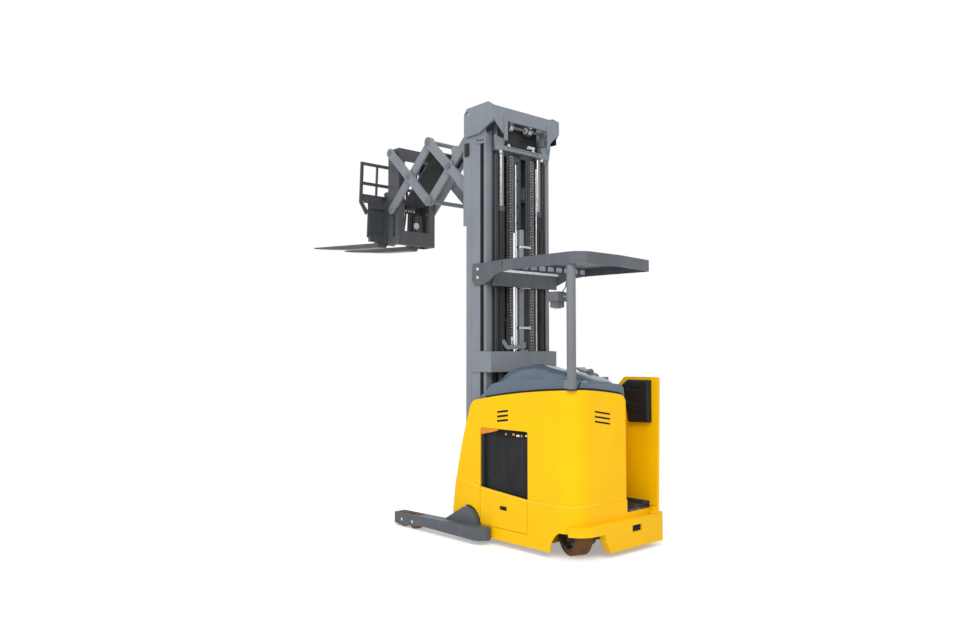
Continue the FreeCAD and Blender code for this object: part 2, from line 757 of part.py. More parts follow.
def mast_crown():
    """Head beam of the outer mast between the crown's side plates, with its wings and straps."""
    beam = box((crown_rear, crown_rear + 20), (-mast_half, mast_half), (crown_beam_low, crown_beam_high))
    pieces = [beam]
    wing = rear_prism([(mast_half, crown_beam_low + 2), (mast_half, crown_beam_low - 20),
                       (mast_half - 103, crown_beam_low - 115), (mast_half - 103, crown_beam_low + 2)],
                      (crown_rear, crown_rear + 12))
    strap = box((crown_rear - 10, crown_rear + 2), (mast_half - 141, mast_half - 104),
                (crown_beam_low - 170, crown_beam_low + 45))
    for piece in (wing, strap):
        pieces += [piece, mirrored(piece)]
    return fused(pieces)


def mast_brace():
    """Cross member that wraps the outer rails at half height, with the riser for the hoses on it."""
    half = mast_half + brace_wrap
    back = box((brace_rear, brace_rear + brace_plate), (-half, half), (brace_low, brace_high))
    pieces = [back]
    for side in (-1, 1):
        y = tuple(sorted((side * mast_half, side * half)))
        pieces.append(box((brace_rear, brace_front), y, (brace_low, brace_high)))
        y = tuple(sorted((side * (mast_half - 40), side * mast_half)))
        pieces.append(box((brace_rear + 2, mast_rear), y, (brace_low + 10, brace_high - 10)))
    foot = box((brace_rear, hose_tube_x + 30), (-40, 40), (brace_high, brace_high + 12))
    riser = tube(V(hose_tube_x, 0, brace_high + 11), V(hose_tube_x, 0, mid_top_low - hose_plate_length - 2),
                 hose_tube_dia, hose_tube_dia - 8)
    back_face = hose_tube_x - hose_tube_dia / 2
    tie = rear_prism([(lift_y + 24, 1645), (lift_y, 1645), (lift_y - 30, 1600), (20, 1600), (-8, 1625), (-30, 1625),
                      (-20, 1572), (lift_y - 20, 1565), (lift_y + 24, 1610)], (back_face - 9, back_face + 0.5))
    lug = box((back_face - 1, back_face + 6), (-12, 12), (1580, 1600))
    return fused(pieces + [foot, riser, tie, lug])


def hose_channel():
    """Perforated plate that hangs from the middle mast's tie bar and guides the hoses."""
    high = mid_top_low + tie_bar_height
    low = mid_top_low - hose_plate_length
    rear = mid_rear - 12
    plate = box((rear, rear + 8), (-43, 43), (low, high))
    tools = []
    for number in range(5):
        z = low + 50 + number * 140
        tools.append(rod(V(rear - 20, 0, z), V(rear + 20, 0, z), 40))
    foot = box((mid_rear - tie_bar_front, rear + 1), (-30, 30), (mid_top_low, high))
    return fused([cut_all(plate, tools), foot])


lift_x = mid_rear - 8 - lift_barrel_dia / 2
lift_low = 250.0
lift_bore_low = lift_low + 20
lift_barrel_high = lift_bore_low + lift_stroke + 100
lift_rod_low = lift_bore_low + 20


def lift_barrels():
    """The pair of main lift cylinders that stand behind the rails."""
    pair = []
    for side in (-1, 1):
        start = V(lift_x, side * lift_y, lift_low)
        end = V(lift_x, side * lift_y, lift_barrel_high)
        bore = rod(V(lift_x, side * lift_y, lift_bore_low), end, lift_rod_dia + 1)
        pair.append(rod(start, end, lift_barrel_dia).cut(bore))
    return Part.makeCompound(pair)


def lift_rods():
    """Rods of the main lift cylinders, under the middle mast's top member."""
    pair = [rod(V(lift_x, side * lift_y, lift_rod_low), V(lift_x, side * lift_y, mid_top_low), lift_rod_dia)
            for side in (-1, 1)]
    return Part.makeCompound(pair)


def mid_top_member():
    """Tie bar of the middle mast with its end brackets, behind the rails."""
    rear = mid_rear - 85
    high = mid_top_low + tie_bar_height
    bar = box((rear, mid_rear - tie_bar_front), (-270, 270), (mid_top_low, high))
    groove = box((rear - 1, rear + 8), (-190, 190), (mid_top_low + 8, high - 8))
    pieces = [bar.cut(groove)]
    plate = rear_prism([(345, mid_top_low + 113), (218, mid_top_low + 93), (250, mid_top_low), (325, mid_top_low - 12)],
                       (rear - 2, rear + 10))
    web = box((rear + 10, mid_rear), (mid_reach_in + 4, mid_reach_in + 16), (mid_top_low - 2, mid_top_low + 108))
    for piece in (plate, web):
        pieces += [piece, mirrored(piece)]
    return fused(pieces)


def mid_foot_member():
    """Bottom member of the middle mast, below the inner rails."""
    return box((mid_rear, mid_rear + rail_depth), (-mid_reach_in, mid_reach_in), (rail_low + 10, rail_low + 80))


def inner_top_member():
    """Top member of the inner mast, between its rear flanges."""
    return box((inner_rear, inner_rear + 16), (-inner_reach_in, inner_reach_in),
               (rail_high - 190, rail_high - 20))


def inner_foot_member():
    """Bottom member of the inner mast, which carries the free-lift cylinder."""
    return box((inner_rear, inner_rear + rail_depth), (-inner_reach_in, inner_reach_in), (150, 230))


free_low = 230.0
free_stroke = carriage_stroke / 2
free_rod_low = free_low + 30 + free_stroke
free_barrel_high = free_rod_low + 70
free_head_low = rail_high - 150


def free_lift_barrel():
    """Free-lift cylinder in the middle of the inner mast."""
    whole = rod(V(free_x, 0, free_low), V(free_x, 0, free_barrel_high), free_barrel_dia)
    return whole.cut(rod(V(free_x, 0, free_low + 20), V(free_x, 0, free_barrel_high + 1), free_rod_dia + 1))


def free_lift_rod():
    """Rod of the free-lift cylinder with its crosshead and two chain sheaves."""
    bar = rod(V(free_x, 0, free_rod_low), V(free_x, 0, free_head_low + 20), free_rod_dia)
    head = box((free_x - 32, free_x + 38), (-60, 60), (free_head_low, free_head_low + 40))
    axle = rod(V(free_x + 4, -110, free_head_low + 70), V(free_x + 4, 110, free_head_low + 70), 26)
    pieces = [bar, head, axle]
    for side in (-1, 1):
        y = tuple(sorted((side * 30, side * 44)))
        pieces.append(box((free_x - 16, free_x + 24), y, (free_head_low + 30, free_head_low + 90)))
        pieces.append(rod(V(free_x + 4, side * 52, free_head_low + 70), V(free_x + 4, side * 86, free_head_low + 70), 84))
    return fused(pieces)


# Pantograph: planes of the links and the corners of the two diamonds at rest
lean = math.radians(link_lean)
spread = link_length * math.sin(lean)
drop = link_length * math.cos(lean)
inner_plane = frame_half + running_gap
outer_plane = inner_plane + link_plate + plate_gap
rear_top = V(pivot_rear, 0, pivot_high)
rear_low = V(pivot_rear, 0, pivot_high - drop)
rear_mid = V(pivot_rear + spread / 2, 0, pivot_high - drop / 2)
middle_top = V(pivot_rear + spread, 0, pivot_high)
middle_low = V(pivot_rear + spread, 0, pivot_high - drop)
front_mid = V(pivot_rear + spread * 1.5, 0, pivot_high - drop / 2)
front_top = V(pivot_rear + 2 * spread, 0, pivot_high)
front_low = V(pivot_rear + 2 * spread, 0, pivot_high - drop)
drop_most = link_length * math.cos(math.radians(lean_least))
drop_least = link_length * math.cos(math.radians(lean_most))
hole_fit = 1.0


def on_lever(reach, angle):
    """A point on the lever of the rear drive links, at a reach and angle from their top pivot."""
    turn = lean + math.radians(angle)
    return rear_top + V(reach * math.sin(turn), 0, -reach * math.cos(turn))


lever_tube = on_lever(lever_reach, lever_angle)
cylinder_head = on_lever(eye_reach, eye_angle)
cylinder_foot = V(pivot_rear + 20, 0, frame_low + 100)
cylinder_y = frame_inner - 85


def link_plate_shape(start, end, y):
    """A flat link with round ends and a swell at its middle hole, from one pivot to the other."""
    length = (end - start).Length
    half = link_width / 2
    edges = [Part.Arc(V(0, 0, half), V(-half, 0, 0), V(0, 0, -half)).toShape(),
             Part.makeLine(V(0, 0, -half), V(length, 0, -half)),
             Part.Arc(V(length, 0, -half), V(length + half, 0, 0), V(length, 0, half)).toShape(),
             Part.makeLine(V(length, 0, half), V(0, 0, half))]
    plate = Part.Face(Part.Wire(edges)).extrude(V(0, y[1] - y[0], 0))
    swell = rod(V(length / 2, 0, 0), V(length / 2, y[1] - y[0], 0), link_width + 24)
    plate = plate.fuse(swell)
    run = end - start
    plate.rotate(V(0, 0, 0), V(0, 1, 0), -math.degrees(math.atan2(run.z, run.x)))
    plate.translate(V(start.x, y[0], start.z))
    return plate


def pin(at, y, dia):
    """A round pin across the truck through a pivot."""
    return rod(V(at.x, y[0], at.z), V(at.x, y[1], at.z), dia)


def link_pair(start, end, y, holes, pins, ties):
    """Left and right links with their holes and pins, tied across the truck by round bars."""
    plate = link_plate_shape(start, end, y)
    for at in holes:
        plate = plate.cut(pin(at, (y[0] - 1, y[1] + 1), link_pin_dia + hole_fit))
    pieces = [plate]
    for at, reach in pins:
        pieces.append(pin(at, reach, link_pin_dia))
    left = fused(pieces)
    both = [left, mirrored(left)]
    for at, dia in ties:
        both.append(pin(at, (-y[0] - 2, y[0] + 2), dia))
    return fused(both)


def between(start, end, share):
    """A point part of the way from one point to another."""
    return start + (end - start) * share


inner_y = (inner_plane, inner_plane + link_plate)
outer_y = (outer_plane, outer_plane + link_plate)
pin_out = outer_plane + link_plate + 8


def rear_drive_link():
    """Inner links of the rear diamond, hung from the lift carriage and pushed by the reach cylinders."""
    links = link_pair(rear_top, middle_low, inner_y, [rear_top, middle_low],
                      [(rear_mid, (inner_y[1] - 2, pin_out))], [])
    near = between(rear_top, middle_low, 0.22)
    far = between(rear_top, middle_low, 0.44)
    bracket = side_prism([(near.x, near.z), (lever_tube.x - 14, lever_tube.z + 24),
                          (lever_tube.x + 22, lever_tube.z + 8), (lever_tube.x + 20, lever_tube.z - 20),
                          (far.x, far.z)], inner_y)
    lug = side_prism([(lever_tube.x - 18, lever_tube.z), (lever_tube.x + 18, lever_tube.z),
                      (cylinder_head.x + 24, cylinder_head.z), (cylinder_head.x + 12, cylinder_head.z - 24),
                      (cylinder_head.x - 12, cylinder_head.z - 24), (cylinder_head.x - 24, cylinder_head.z)],
                     (-6, 6))
    pieces = [links, bracket, mirrored(bracket),
              pin(lever_tube, (-inner_y[0] - 2, inner_y[0] + 2), 40)]
    for side in (-1, 1):
        for offset in (-19, 19):
            pieces.append(lug.translated(V(0, side * cylinder_y + offset, 0)))
    return fused(pieces)


def rear_cross_link():
    """Outer links of the rear diamond on one top shaft, with rollers that run in the lift carriage."""
    return link_pair(rear_low, middle_top, outer_y, [rear_mid],
                     [(rear_low, (frame_half - frame_plate - 4, outer_y[0] + 2))],
                     [(middle_top, link_pin_dia)])


def front_drive_link():
    """Outer links of the front diamond on one bottom shaft, pinned to the front frame."""
    return link_pair(middle_low, front_top, outer_y, [front_top],
                     [(front_mid, (inner_y[0] - 2, outer_y[0] + 2))],
                     [(middle_low, link_pin_dia)])


def front_cross_link():
    """Inner links of the front diamond, welded to a cross plate, with rollers in the front frame."""
    links = link_pair(middle_top, front_low, inner_y, [front_mid, middle_top],
                      [(front_low, (frame_half - frame_plate - 4, inner_y[0] + 2))], [])
    run = front_low - middle_top
    run.normalize()
    side = V(run.z, 0, -run.x)
    pieces = [links]
    for start, end, half in ((82, 213, inner_y[0] + 2), (212, 740, frame_inner - running_gap)):
        corners = [middle_top + run * start + side * 8, middle_top + run * end + side * 8,
                   middle_top + run * end - side * 8, middle_top + run * start - side * 8]
        pieces.append(side_prism([(at.x, at.z) for at in corners], (-half, half)))
    return fused(pieces)


def reach_column(x, z, slot_x):
    """A side of a reach frame: a slotted plate with a flange at its front and back edge."""
    plate = box((x[0], x[1]), (frame_half - frame_plate, frame_half), z)
    rear = box((x[0], x[0] + frame_flange), (frame_inner, frame_half), z)
    front = box((x[1] - frame_flange, x[1]), (frame_inner, frame_half), z)
    column = fused([plate, rear, front])
    low = pivot_high - drop_most - link_pin_dia / 2 - 8
    high = pivot_high - drop_least + link_pin_dia / 2 + 8
    slot = box((slot_x - link_pin_dia / 2 - 0.5, slot_x + link_pin_dia / 2 + 0.5),
               (frame_half - frame_plate - 1, frame_half + 1), (low, high))
    return column.cut(slot)


def reach_frame(x, z, pivot_x):
    """A pair of columns with their cross plates and top pivot pins."""
    column = reach_column(x, z, pivot_x)
    both = [column, mirrored(column)]
    both.append(box((x[0], x[0] + frame_flange), (-frame_inner - 2, frame_inner + 2), (z[0], z[0] + 140)))
    both.append(box((x[0], x[0] + frame_flange), (-frame_inner - 2, frame_inner + 2), (z[1] - 120, z[1])))
    return both


def lift_carriage():
    """Rear reach frame with the roller arms that hold it in the inner mast."""
    x = (pivot_rear - 62, pivot_rear + 98)
    pieces = reach_frame(x, (frame_low + 30, frame_high - 30), pivot_rear)
    pin_reach = (frame_half - 4, inner_y[1] - 0.5)
    for side in (-1, 1):
        y = tuple(sorted((side * pin_reach[0], side * pin_reach[1])))
        pieces.append(pin(rear_top, y, link_pin_dia))
        arm_y = tuple(sorted((side * (inner_reach_in - 24), side * (inner_reach_in - 6))))
        for z in (frame_low + 360, frame_low + 770):
            pieces.append(box((inner_rear + 40, x[0] + 4), arm_y, (z - 45, z + 45)))
            roller = tuple(sorted((side * (inner_reach_in - 8), side * (inner_web_in - 5))))
            centre = inner_rear + rail_depth / 2
            pieces.append(rod(V(centre, roller[0], z), V(centre, roller[1], z), rail_depth - 2 * rail_flange - 8))
        for low, high in ((cylinder_y - 48, cylinder_y - 32), (cylinder_y + 32, cylinder_y + 48)):
            lug_y = tuple(sorted((side * low, side * high)))
            pieces.append(box((x[0] + 4, cylinder_foot.x + 28), lug_y, (cylinder_foot.z - 28, cylinder_foot.z + 28)))
        pieces.append(pin(cylinder_foot, tuple(sorted((side * (cylinder_y - 46), side * (cylinder_y + 46)))), 30))
    return fused(pieces)


frame_front_x = (front_top.x - 82, front_top.x + 98)
tilt_x = frame_front_x[1] + 50
tilt_pivot = V(tilt_x, 0, tilt_high)
tilt_pin_dia = 30.0
ear_y = (frame_inner + 23, frame_inner + 49)
bar_front = frame_front_x[1] + 74 + carriage_bar
bar_spread = 407.0
bar_high = 77.0


def front_frame():
    """Front reach frame that carries the fork carriage."""
    pieces = reach_frame(frame_front_x, (frame_low, frame_high), front_top.x)
    for side in (-1, 1):
        y = tuple(sorted((side * (frame_half - 4), side * (outer_y[1] - 0.5))))
        pieces.append(pin(front_top, y, link_pin_dia))
        for low, high in ((frame_inner + 2, ear_y[0] - 3), (ear_y[1] + 3, frame_half - 2)):
            y = tuple(sorted((side * low, side * high)))
            lug = fused([box((frame_front_x[1] - 2, tilt_x), y, (tilt_high - 24, tilt_high + 24)),
                         pin(tilt_pivot, y, 48)])
            pieces.append(lug.cut(pin(tilt_pivot, (y[0] - 1, y[1] + 1), tilt_pin_dia + hole_fit)))
    return fused(pieces)


def reach_barrels():
    """Pair of reach cylinders, hinged low on the lift carriage."""
    run = cylinder_head - cylinder_foot
    run.normalize()
    pair = []
    for side in (-1, 1):
        start = cylinder_foot + V(0, side * cylinder_y, 0)
        barrel = rod(start + run * 20, start + run * 430, 60)
        barrel = barrel.cut(rod(start + run * 45, start + run * 431, 37))
        eye = rod(start - across * 22, start + across * 22, 56)
        pair.append(fused([barrel, eye]).cut(rod(start - across * 30, start + across * 30, 31)))
    return Part.makeCompound(pair)


def reach_rods():
    """Rods of the reach cylinders; their flat eyes stand between the lugs of the rear drive links."""
    run = cylinder_head - cylinder_foot
    length = run.Length
    run.normalize()
    pair = []
    for side in (-1, 1):
        start = cylinder_foot + V(0, side * cylinder_y, 0)
        head = start + run * length
        eye = rod(head - across * 9, head + across * 9, 52)
        neck = rod(start + run * (length - 60), start + run * (length - 10), 18)
        shank = rod(start + run * 240, start + run * (length - 58), 36)
        pair.append(fused([shank, neck, eye]).cut(rod(head - across * 20, head + across * 20, 24)))
    return Part.makeCompound(pair)


def fork_carriage():
    """Two hook bars and face plates on a pair of side plates, pinned to the front frame to tilt."""
    bars = (bar_low, bar_low + bar_spread - bar_high)
    rear = bar_front - carriage_bar
    pieces = [box((rear, bar_front), (-370, 370), (z, z + bar_high)) for z in bars]
    for side in (-1, 1):
        y = tuple(sorted((side * ear_y[0], side * ear_y[1])))
        pieces.append(box((tilt_x - 26, rear + 1), y, (bar_low, tilt_high)))
        pieces.append(pin(tilt_pivot, y, 52))
        y = tuple(sorted((side * (frame_inner - 4), side * (frame_half + 2))))
        pieces.append(pin(tilt_pivot, y, tilt_pin_dia))
        y = tuple(sorted((side * ear_y[0], side * 390)))
        pieces.append(box((bar_front - 14, bar_front), y, (bar_low + 40, bars[1] + 50)))
        y = tuple(sorted((side * (fork_spread / 2 + fork_width / 2 + 10), side * 445)))
        pieces.append(box((rear, bar_front), y, (bars[1] + 50, bars[1] + 120)))
    return fused(pieces)


def load_backrest():
    """Welded guard of flat bars above the fork carriage, bolted to its face plates."""
    x = (bar_front, bar_front + 18)
    half = backrest_width / 2
    low = bar_low + bar_spread
    top = bar_low + backrest_high
    inner = half - backrest_post
    post = rear_prism([(half, top), (half, low - 24), (half - 79, low - 142), (inner - 79, low - 112),
                       (inner, low - 12), (inner, top)], x)
    pieces = [post, mirrored(post)]
    for side in (-1, 1):
        y = tuple(sorted((side * (fork_spread / 2 + fork_width / 2 + 8), side * (inner + 2))))
        pieces.append(box(x, y, (low - 10, low + 34)))
    for z in (top - 30, top - 225):
        pieces.append(box(x, (-half + 4, half - 4), (z, z + 30)))
    for y in (-287, -96, 96, 287):
        foot = low + 30 if abs(y) > 200 else low + 40
        pieces.append(box(x, (y - 9, y + 9), (foot, top - 4)))
    pieces.append(box(x, (-inner - 2, inner + 2), (low + 26, low + 62)))
    return fused(pieces)


def fork(side):
    """One forged fork: a tapered blade, a round heel and a shank with hooks over the bars."""
    x = bar_front
    low = bar_low - 50
    hook = bar_low + bar_spread
    points = [(x, low + 16), (x, bar_low - 24), (x - 20, bar_low - 24), (x - 20, bar_low),
              (x, bar_low), (x, hook), (x - 24, hook), (x - 24, low + fork_shank_high),
              (x + 40, low + fork_shank_high), (x + 40, low + fork_thick + 22), (x + 48, low + fork_thick + 5),
              (x + 66, low + fork_thick), (x + fork_length, low + fork_thick),
              (x + fork_length, low + fork_thick - fork_tip_thick), (x + fork_length * 0.45, low),
              (x + 40, low), (x + 14, low + 3)]
    centre = side * fork_spread / 2
    return side_prism(points, (centre - fork_width / 2, centre + fork_width / 2))


def tilted(shape):
    """Turn a piece of the fork carriage back with the tilt of the forks."""
    return turned(shape, tilt_pivot, across, -fork_tilt)


def left_leg():
    """Left leg: a tapered arm with its rounded end, a pocket and two axles for its load wheels."""
    points = [(leg_rear, leg_low - 6), (1693, leg_low), (leg_front - 83, 12), (leg_front, 24),
              (leg_front, leg_high_front), (leg_rear, leg_high_rear + 6)]
    arm = side_prism(points, (leg_inner, leg_outer))
    plan = Part.Face(rounded_outline([(leg_rear, leg_inner, 14), (leg_rear, leg_outer, leg_end_radius),
                                      (leg_front, leg_outer, 6), (leg_front, leg_inner, 6)], 0.0))
    arm = arm.common(plan.extrude(V(0, 0, 300)))
    radius = load_wheel_dia / 2
    rear_x = load_wheel_front - load_wheel_pitch
    y = (leg_inner + leg_wall, leg_outer - leg_wall)
    tools = [box((rear_x - radius - 9, load_wheel_front + radius + 9), y, (0, 102))]
    for x in (load_wheel_front, rear_x):
        tools.append(box((x - radius - 5, x + radius + 5), y, (90, 200)))
    arm = cut_all(arm, tools)
    lean_to = box((mast_rear, side_plate_front), (mast_half, leg_inner + 1), (rail_low, dome_low))
    dome = dome_prism(0.0, (leg_inner - 35, leg_inner + 25))
    pieces = [arm, lean_to, dome]
    for x in (load_wheel_front, rear_x):
        pieces.append(rod(V(x, leg_inner + 4, radius), V(x, leg_outer - 4, radius), load_axle_dia))
    return fused(pieces)


def load_wheel(x):
    """Left load wheel: a polyurethane tread on a hub, bored for its axle."""
    radius = load_wheel_dia / 2
    centre = leg_outer - leg_width / 2
    half = load_wheel_width / 2
    points = [V(0, -half, load_axle_dia / 2 + 0.5), V(0, -half, radius - 4), V(0, -half + 4, radius),
              V(0, half - 4, radius), V(0, half, radius - 4), V(0, half, load_axle_dia / 2 + 0.5)]
    wire = Part.makePolygon(points + [points[0]])
    wheel = Part.Face(wire).revolve(V(0, 0, 0), across, 360)
    wheel.translate(V(x, centre, radius))
    return wheel


def revolved(points, about):
    """A turned piece from (radius, place along the axis) points on the Y axis, moved to its place."""
    wire = Part.makePolygon([V(r, a, 0) for r, a in points] + [V(points[0][0], points[0][1], 0)])
    piece = Part.Face(wire).revolve(V(0, 0, 0), across, 360)
    piece.translate(about)
    return piece


def at_drive(shape):
    """Turn a piece of the drive unit with the steering."""
    return turned(shape, V(drive_x, drive_y, 0), upward, drive_turned)


def drive_tyre():
    """Polyurethane tyre of the drive wheel."""
    half = drive_width / 2
    radius = drive_dia / 2
    rim = drive_rim_dia / 2
    points = [(rim, -half), (radius - 8, -half), (radius, -half + 8), (radius, half - 8), (radius - 8, half),
              (rim, half)]
    return at_drive(revolved(points, V(drive_x, drive_y, radius)))


def drive_hub():
    """Dished cast centre of the drive wheel."""
    half = drive_width / 2
    rim = drive_rim_dia / 2
    points = [(0, -half + 20), (70, -half + 20), (rim - 14, -half + 4), (rim, -half + 4), (rim, half - 2),
              (rim - 14, half - 2), (rim - 30, half - 34), (62, half - 34), (56, half - 14), (0, half - 14)]
    return at_drive(revolved(points, V(drive_x, drive_y, drive_dia / 2)))


def drive_gearbox():
    """Turning head over the drive wheel with the gear case beside it."""
    radius = drive_dia / 2
    half = drive_width / 2
    inboard = drive_y - half - 10
    case = rod(V(drive_x, inboard - 58, radius), V(drive_x, inboard, radius), 190)
    neck = box((drive_x - 60, drive_x + 60), (inboard - 58, inboard), (radius, drive_plate_high - 30))
    head = rod(V(drive_x, drive_y, drive_dia + 10), V(drive_x, drive_y, drive_plate_high - 27), 210)
    bridge = box((drive_x - 60, drive_x + 60), (inboard - 58, drive_y), (drive_dia + 10, drive_plate_high - 27))
    spindle = rod(V(drive_x, drive_y, drive_plate_high - 30), V(drive_x, drive_y, drive_plate_high - 1), 146)
    axle = rod(V(drive_x, inboard - 4, radius), V(drive_x, drive_y - half + 19.5, radius), 60)
    return at_drive(fused([case, neck, head, bridge, spindle, axle]))


def drive_motor():
    """Upright drive motor on the drive plate."""
    return rod(V(drive_x, drive_y, drive_plate_high), V(drive_x, drive_y, drive_plate_high + motor_height), motor_dia)


def caster_fork():
    """Swivelling fork of the rear caster, between its twin wheels."""
    radius = caster_dia / 2
    top = floor_high - floor_plate
    plate = rod(V(caster_x, caster_y, top - 14), V(caster_x, caster_y, top - 1), 130)
    arm = side_prism([(caster_x + 45, top - 12), (caster_x - 45, top - 12), (caster_x - caster_trail - 22, radius),
                      (caster_x - caster_trail - 14, radius - 20), (caster_x - caster_trail + 14, radius - 20),
                      (caster_x - caster_trail + 22, radius)], (caster_y - 11, caster_y + 11))
    bore = rod(V(caster_x - caster_trail, caster_y - 20, radius), V(caster_x - caster_trail, caster_y + 20, radius), 25)
    return fused([plate, arm]).cut(bore)


def caster_wheels():
    """Twin caster wheels on one axle."""
    radius = caster_dia / 2
    x = caster_x - caster_trail
    pieces = [rod(V(x, caster_y - caster_split - caster_width + 6, radius),
                  V(x, caster_y + caster_split + caster_width - 6, radius), 24)]
    for side in (-1, 1):
        inner = caster_split
        points = [(10, inner), (radius - 6, inner), (radius, inner + 6), (radius, inner + caster_width - 6),
                  (radius - 6, inner + caster_width), (10, inner + caster_width)]
        points = [(r, side * a) for r, a in points]
        pieces.append(revolved(points, V(x, caster_y, radius)))
    return fused(pieces)


def everything():
    """Every node of the truck by its name."""
    rear_x = load_wheel_front - load_wheel_pitch
    nodes = {
        "chassis_frame": chassis_frame(),
        "left_leg": left_leg(),
        "body_shell": body_shell(),
        "right_skin": right_skin(),
        "battery": battery(),
        "left_battery_gate": battery_gate(),
        "rear_bumper": rear_bumper(),
        "right_side_panel": right_side_panel(),
        "floor_mat": floor_mat(),
        "back_pad": back_pad(),
        "lower_hood": hood_lower(),
        "upper_hood": hood_upper(),
        "control_handle": control_handle(),
        "overhead_guard": overhead_guard(),
        "guard_post": guard_post(),
        "work_light": work_light(),
        "outer_rail_left": outer_rail(),
        "mast_crown": mast_crown(),
        "crown_plate_left": crown_cheek(),
        "mast_brace": mast_brace(),
        "hose_channel": hose_channel(),
        "lift_barrels": lift_barrels(),
        "drive_motor": drive_motor(),
        "drive_gearbox": drive_gearbox(),
        "drive_tyre": drive_tyre(),
        "drive_hub": drive_hub(),
        "caster_fork": caster_fork(),
        "caster_wheels": caster_wheels(),
        "load_wheel_left_front": load_wheel(load_wheel_front),
        "load_wheel_left_rear": load_wheel(rear_x),
        "mid_rail_left": mid_rail(),
        "mid_top_member": mid_top_member(),
        "mid_foot_member": mid_foot_member(),
        "lift_rods": lift_rods(),
        "inner_rail_left": inner_rail(),
        "inner_top_member": inner_top_member(),
        "inner_foot_member": inner_foot_member(),
        "free_lift_barrel": free_lift_barrel(),
        "free_lift_rod": free_lift_rod(),
        "lift_carriage": lift_carriage(),
        "rear_drive_link": rear_drive_link(),
        "rear_cross_link": rear_cross_link(),
        "front_drive_link": front_drive_link(),
        "front_cross_link": front_cross_link(),
        "front_frame": front_frame(),
        "reach_barrels": reach_barrels(),
        "reach_rods": reach_rods(),
        "fork_carriage": tilted(fork_carriage()),
        "load_backrest": tilted(load_backrest()),
        "left_fork": tilted(fork(1)),
        "right_fork": tilted(fork(-1)),
    }
    nodes["right_leg"] = mirrored(nodes["left_leg"])
    nodes["right_battery_gate"] = mirrored(nodes["left_battery_gate"])
    for name in ("outer_rail", "mid_rail", "inner_rail", "crown_plate"):
        nodes[name + "_right"] = mirrored(nodes[name + "_left"])
    for name in ("front", "rear"):
        nodes["load_wheel_right_" + name] = mirrored(nodes["load_wheel_left_" + name])
    return nodes


def write_all():
    """Centre the truck over the origin and write one file for each node."""
    os.makedirs("parts", exist_ok=True)
    nodes = everything()
    boxes = [shape.BoundBox for shape in nodes.values()]
    middle = (min(b.XMin for b in boxes) + max(b.XMax for b in boxes)) / 2
    low = min(b.YMin for b in boxes)
    high = max(b.YMax for b in boxes)
    print("origin is %.3f mm ahead of the bumper, width %.3f..%.3f" % (middle, low, high))
    for name, shape in nodes.items():
        shape = shape.copy()
        shape.translate(V(-middle, 0, 0))
        shape.exportStep(os.path.join("parts", name + ".step"))
        print("%-24s solids %d volume %.1f cm3 valid %s" % (name, len(shape.Solids), shape.Volume / 1000,
                                                            shape.isValid()))


write_all()
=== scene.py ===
import json
import math

import bmesh
import bpy
from mathutils import Matrix, Vector
from mathutils.bvhtree import BVHTree


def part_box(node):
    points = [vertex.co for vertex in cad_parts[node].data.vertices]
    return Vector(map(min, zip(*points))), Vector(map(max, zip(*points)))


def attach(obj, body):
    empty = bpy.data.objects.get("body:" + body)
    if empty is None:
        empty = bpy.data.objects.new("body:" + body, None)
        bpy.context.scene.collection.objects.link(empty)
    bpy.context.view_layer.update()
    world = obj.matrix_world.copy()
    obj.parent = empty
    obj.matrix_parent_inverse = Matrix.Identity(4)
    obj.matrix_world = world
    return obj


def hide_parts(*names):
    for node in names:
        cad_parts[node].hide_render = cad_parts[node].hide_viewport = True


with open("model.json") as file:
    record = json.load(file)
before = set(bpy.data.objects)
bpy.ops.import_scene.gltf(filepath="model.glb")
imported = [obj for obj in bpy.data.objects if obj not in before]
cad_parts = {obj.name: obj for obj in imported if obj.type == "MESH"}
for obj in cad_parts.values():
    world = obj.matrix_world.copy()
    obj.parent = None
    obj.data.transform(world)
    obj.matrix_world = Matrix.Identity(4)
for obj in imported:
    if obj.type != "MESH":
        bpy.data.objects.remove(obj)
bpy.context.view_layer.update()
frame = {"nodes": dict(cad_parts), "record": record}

nodes = frame["nodes"]
record = frame["record"]
slots = {part["node"]: part["material_slot"] for part in record["subparts"]}
collection = bpy.context.scene.collection

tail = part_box("rear_bumper")[0].x  # lengths along the truck are counted from the bumper's back face


def at(x, y, z):
    return Vector((tail + x, y, z))


# camera
cameraSpec = {"back": 3.91, "left": 5.0125, "eye": 1.556, "yaw": 42.5, "pitch": 2.9, "focal": 817 / 967}
camera = bpy.data.objects.new("camera", bpy.data.cameras.new("camera"))
collection.objects.link(camera)
camera.location = at(-cameraSpec["back"], cameraSpec["left"], cameraSpec["eye"])
yaw, pitch = math.radians(cameraSpec["yaw"]), math.radians(cameraSpec["pitch"])
look = Vector((math.cos(yaw) * math.cos(pitch), -math.sin(yaw) * math.cos(pitch), math.sin(pitch)))
camera.rotation_euler = look.to_track_quat("-Z", "Y").to_euler()
camera.data.sensor_width = 36.0
camera.data.lens = 36.0 * cameraSpec["focal"]
bpy.context.scene.camera = camera
print("camera set")


# a material node with its settings and values, fed by the outputs in feeds
def addNode(tree, kind, values=None, feeds=None, **settings):
    node = tree.nodes.new("ShaderNode" + kind)
    for name, setting in settings.items():
        setattr(node, name, setting)
    for socket, value in (values or {}).items():
        node.inputs[socket].default_value = value
    for socket, output in (feeds or {}).items():
        tree.links.new(output, node.inputs[socket])
    return node


# materials, and how every finish breaks up its colour, roughness, dust and chipped edges
finishes = {}
surfaceSpec = {
    "blend": (0.35, 0.65), "smears": 35.0, "streaks": 14.0, "streakBlend": (0.48, 0.72), "samples": 4,
    "chips": 70.0, "chipBlend": (0.52, 0.6), "chipRadius": 0.006, "chipEdge": (0.97, 0.8), "relief": 0.6,
    "coatRough": 0.12}


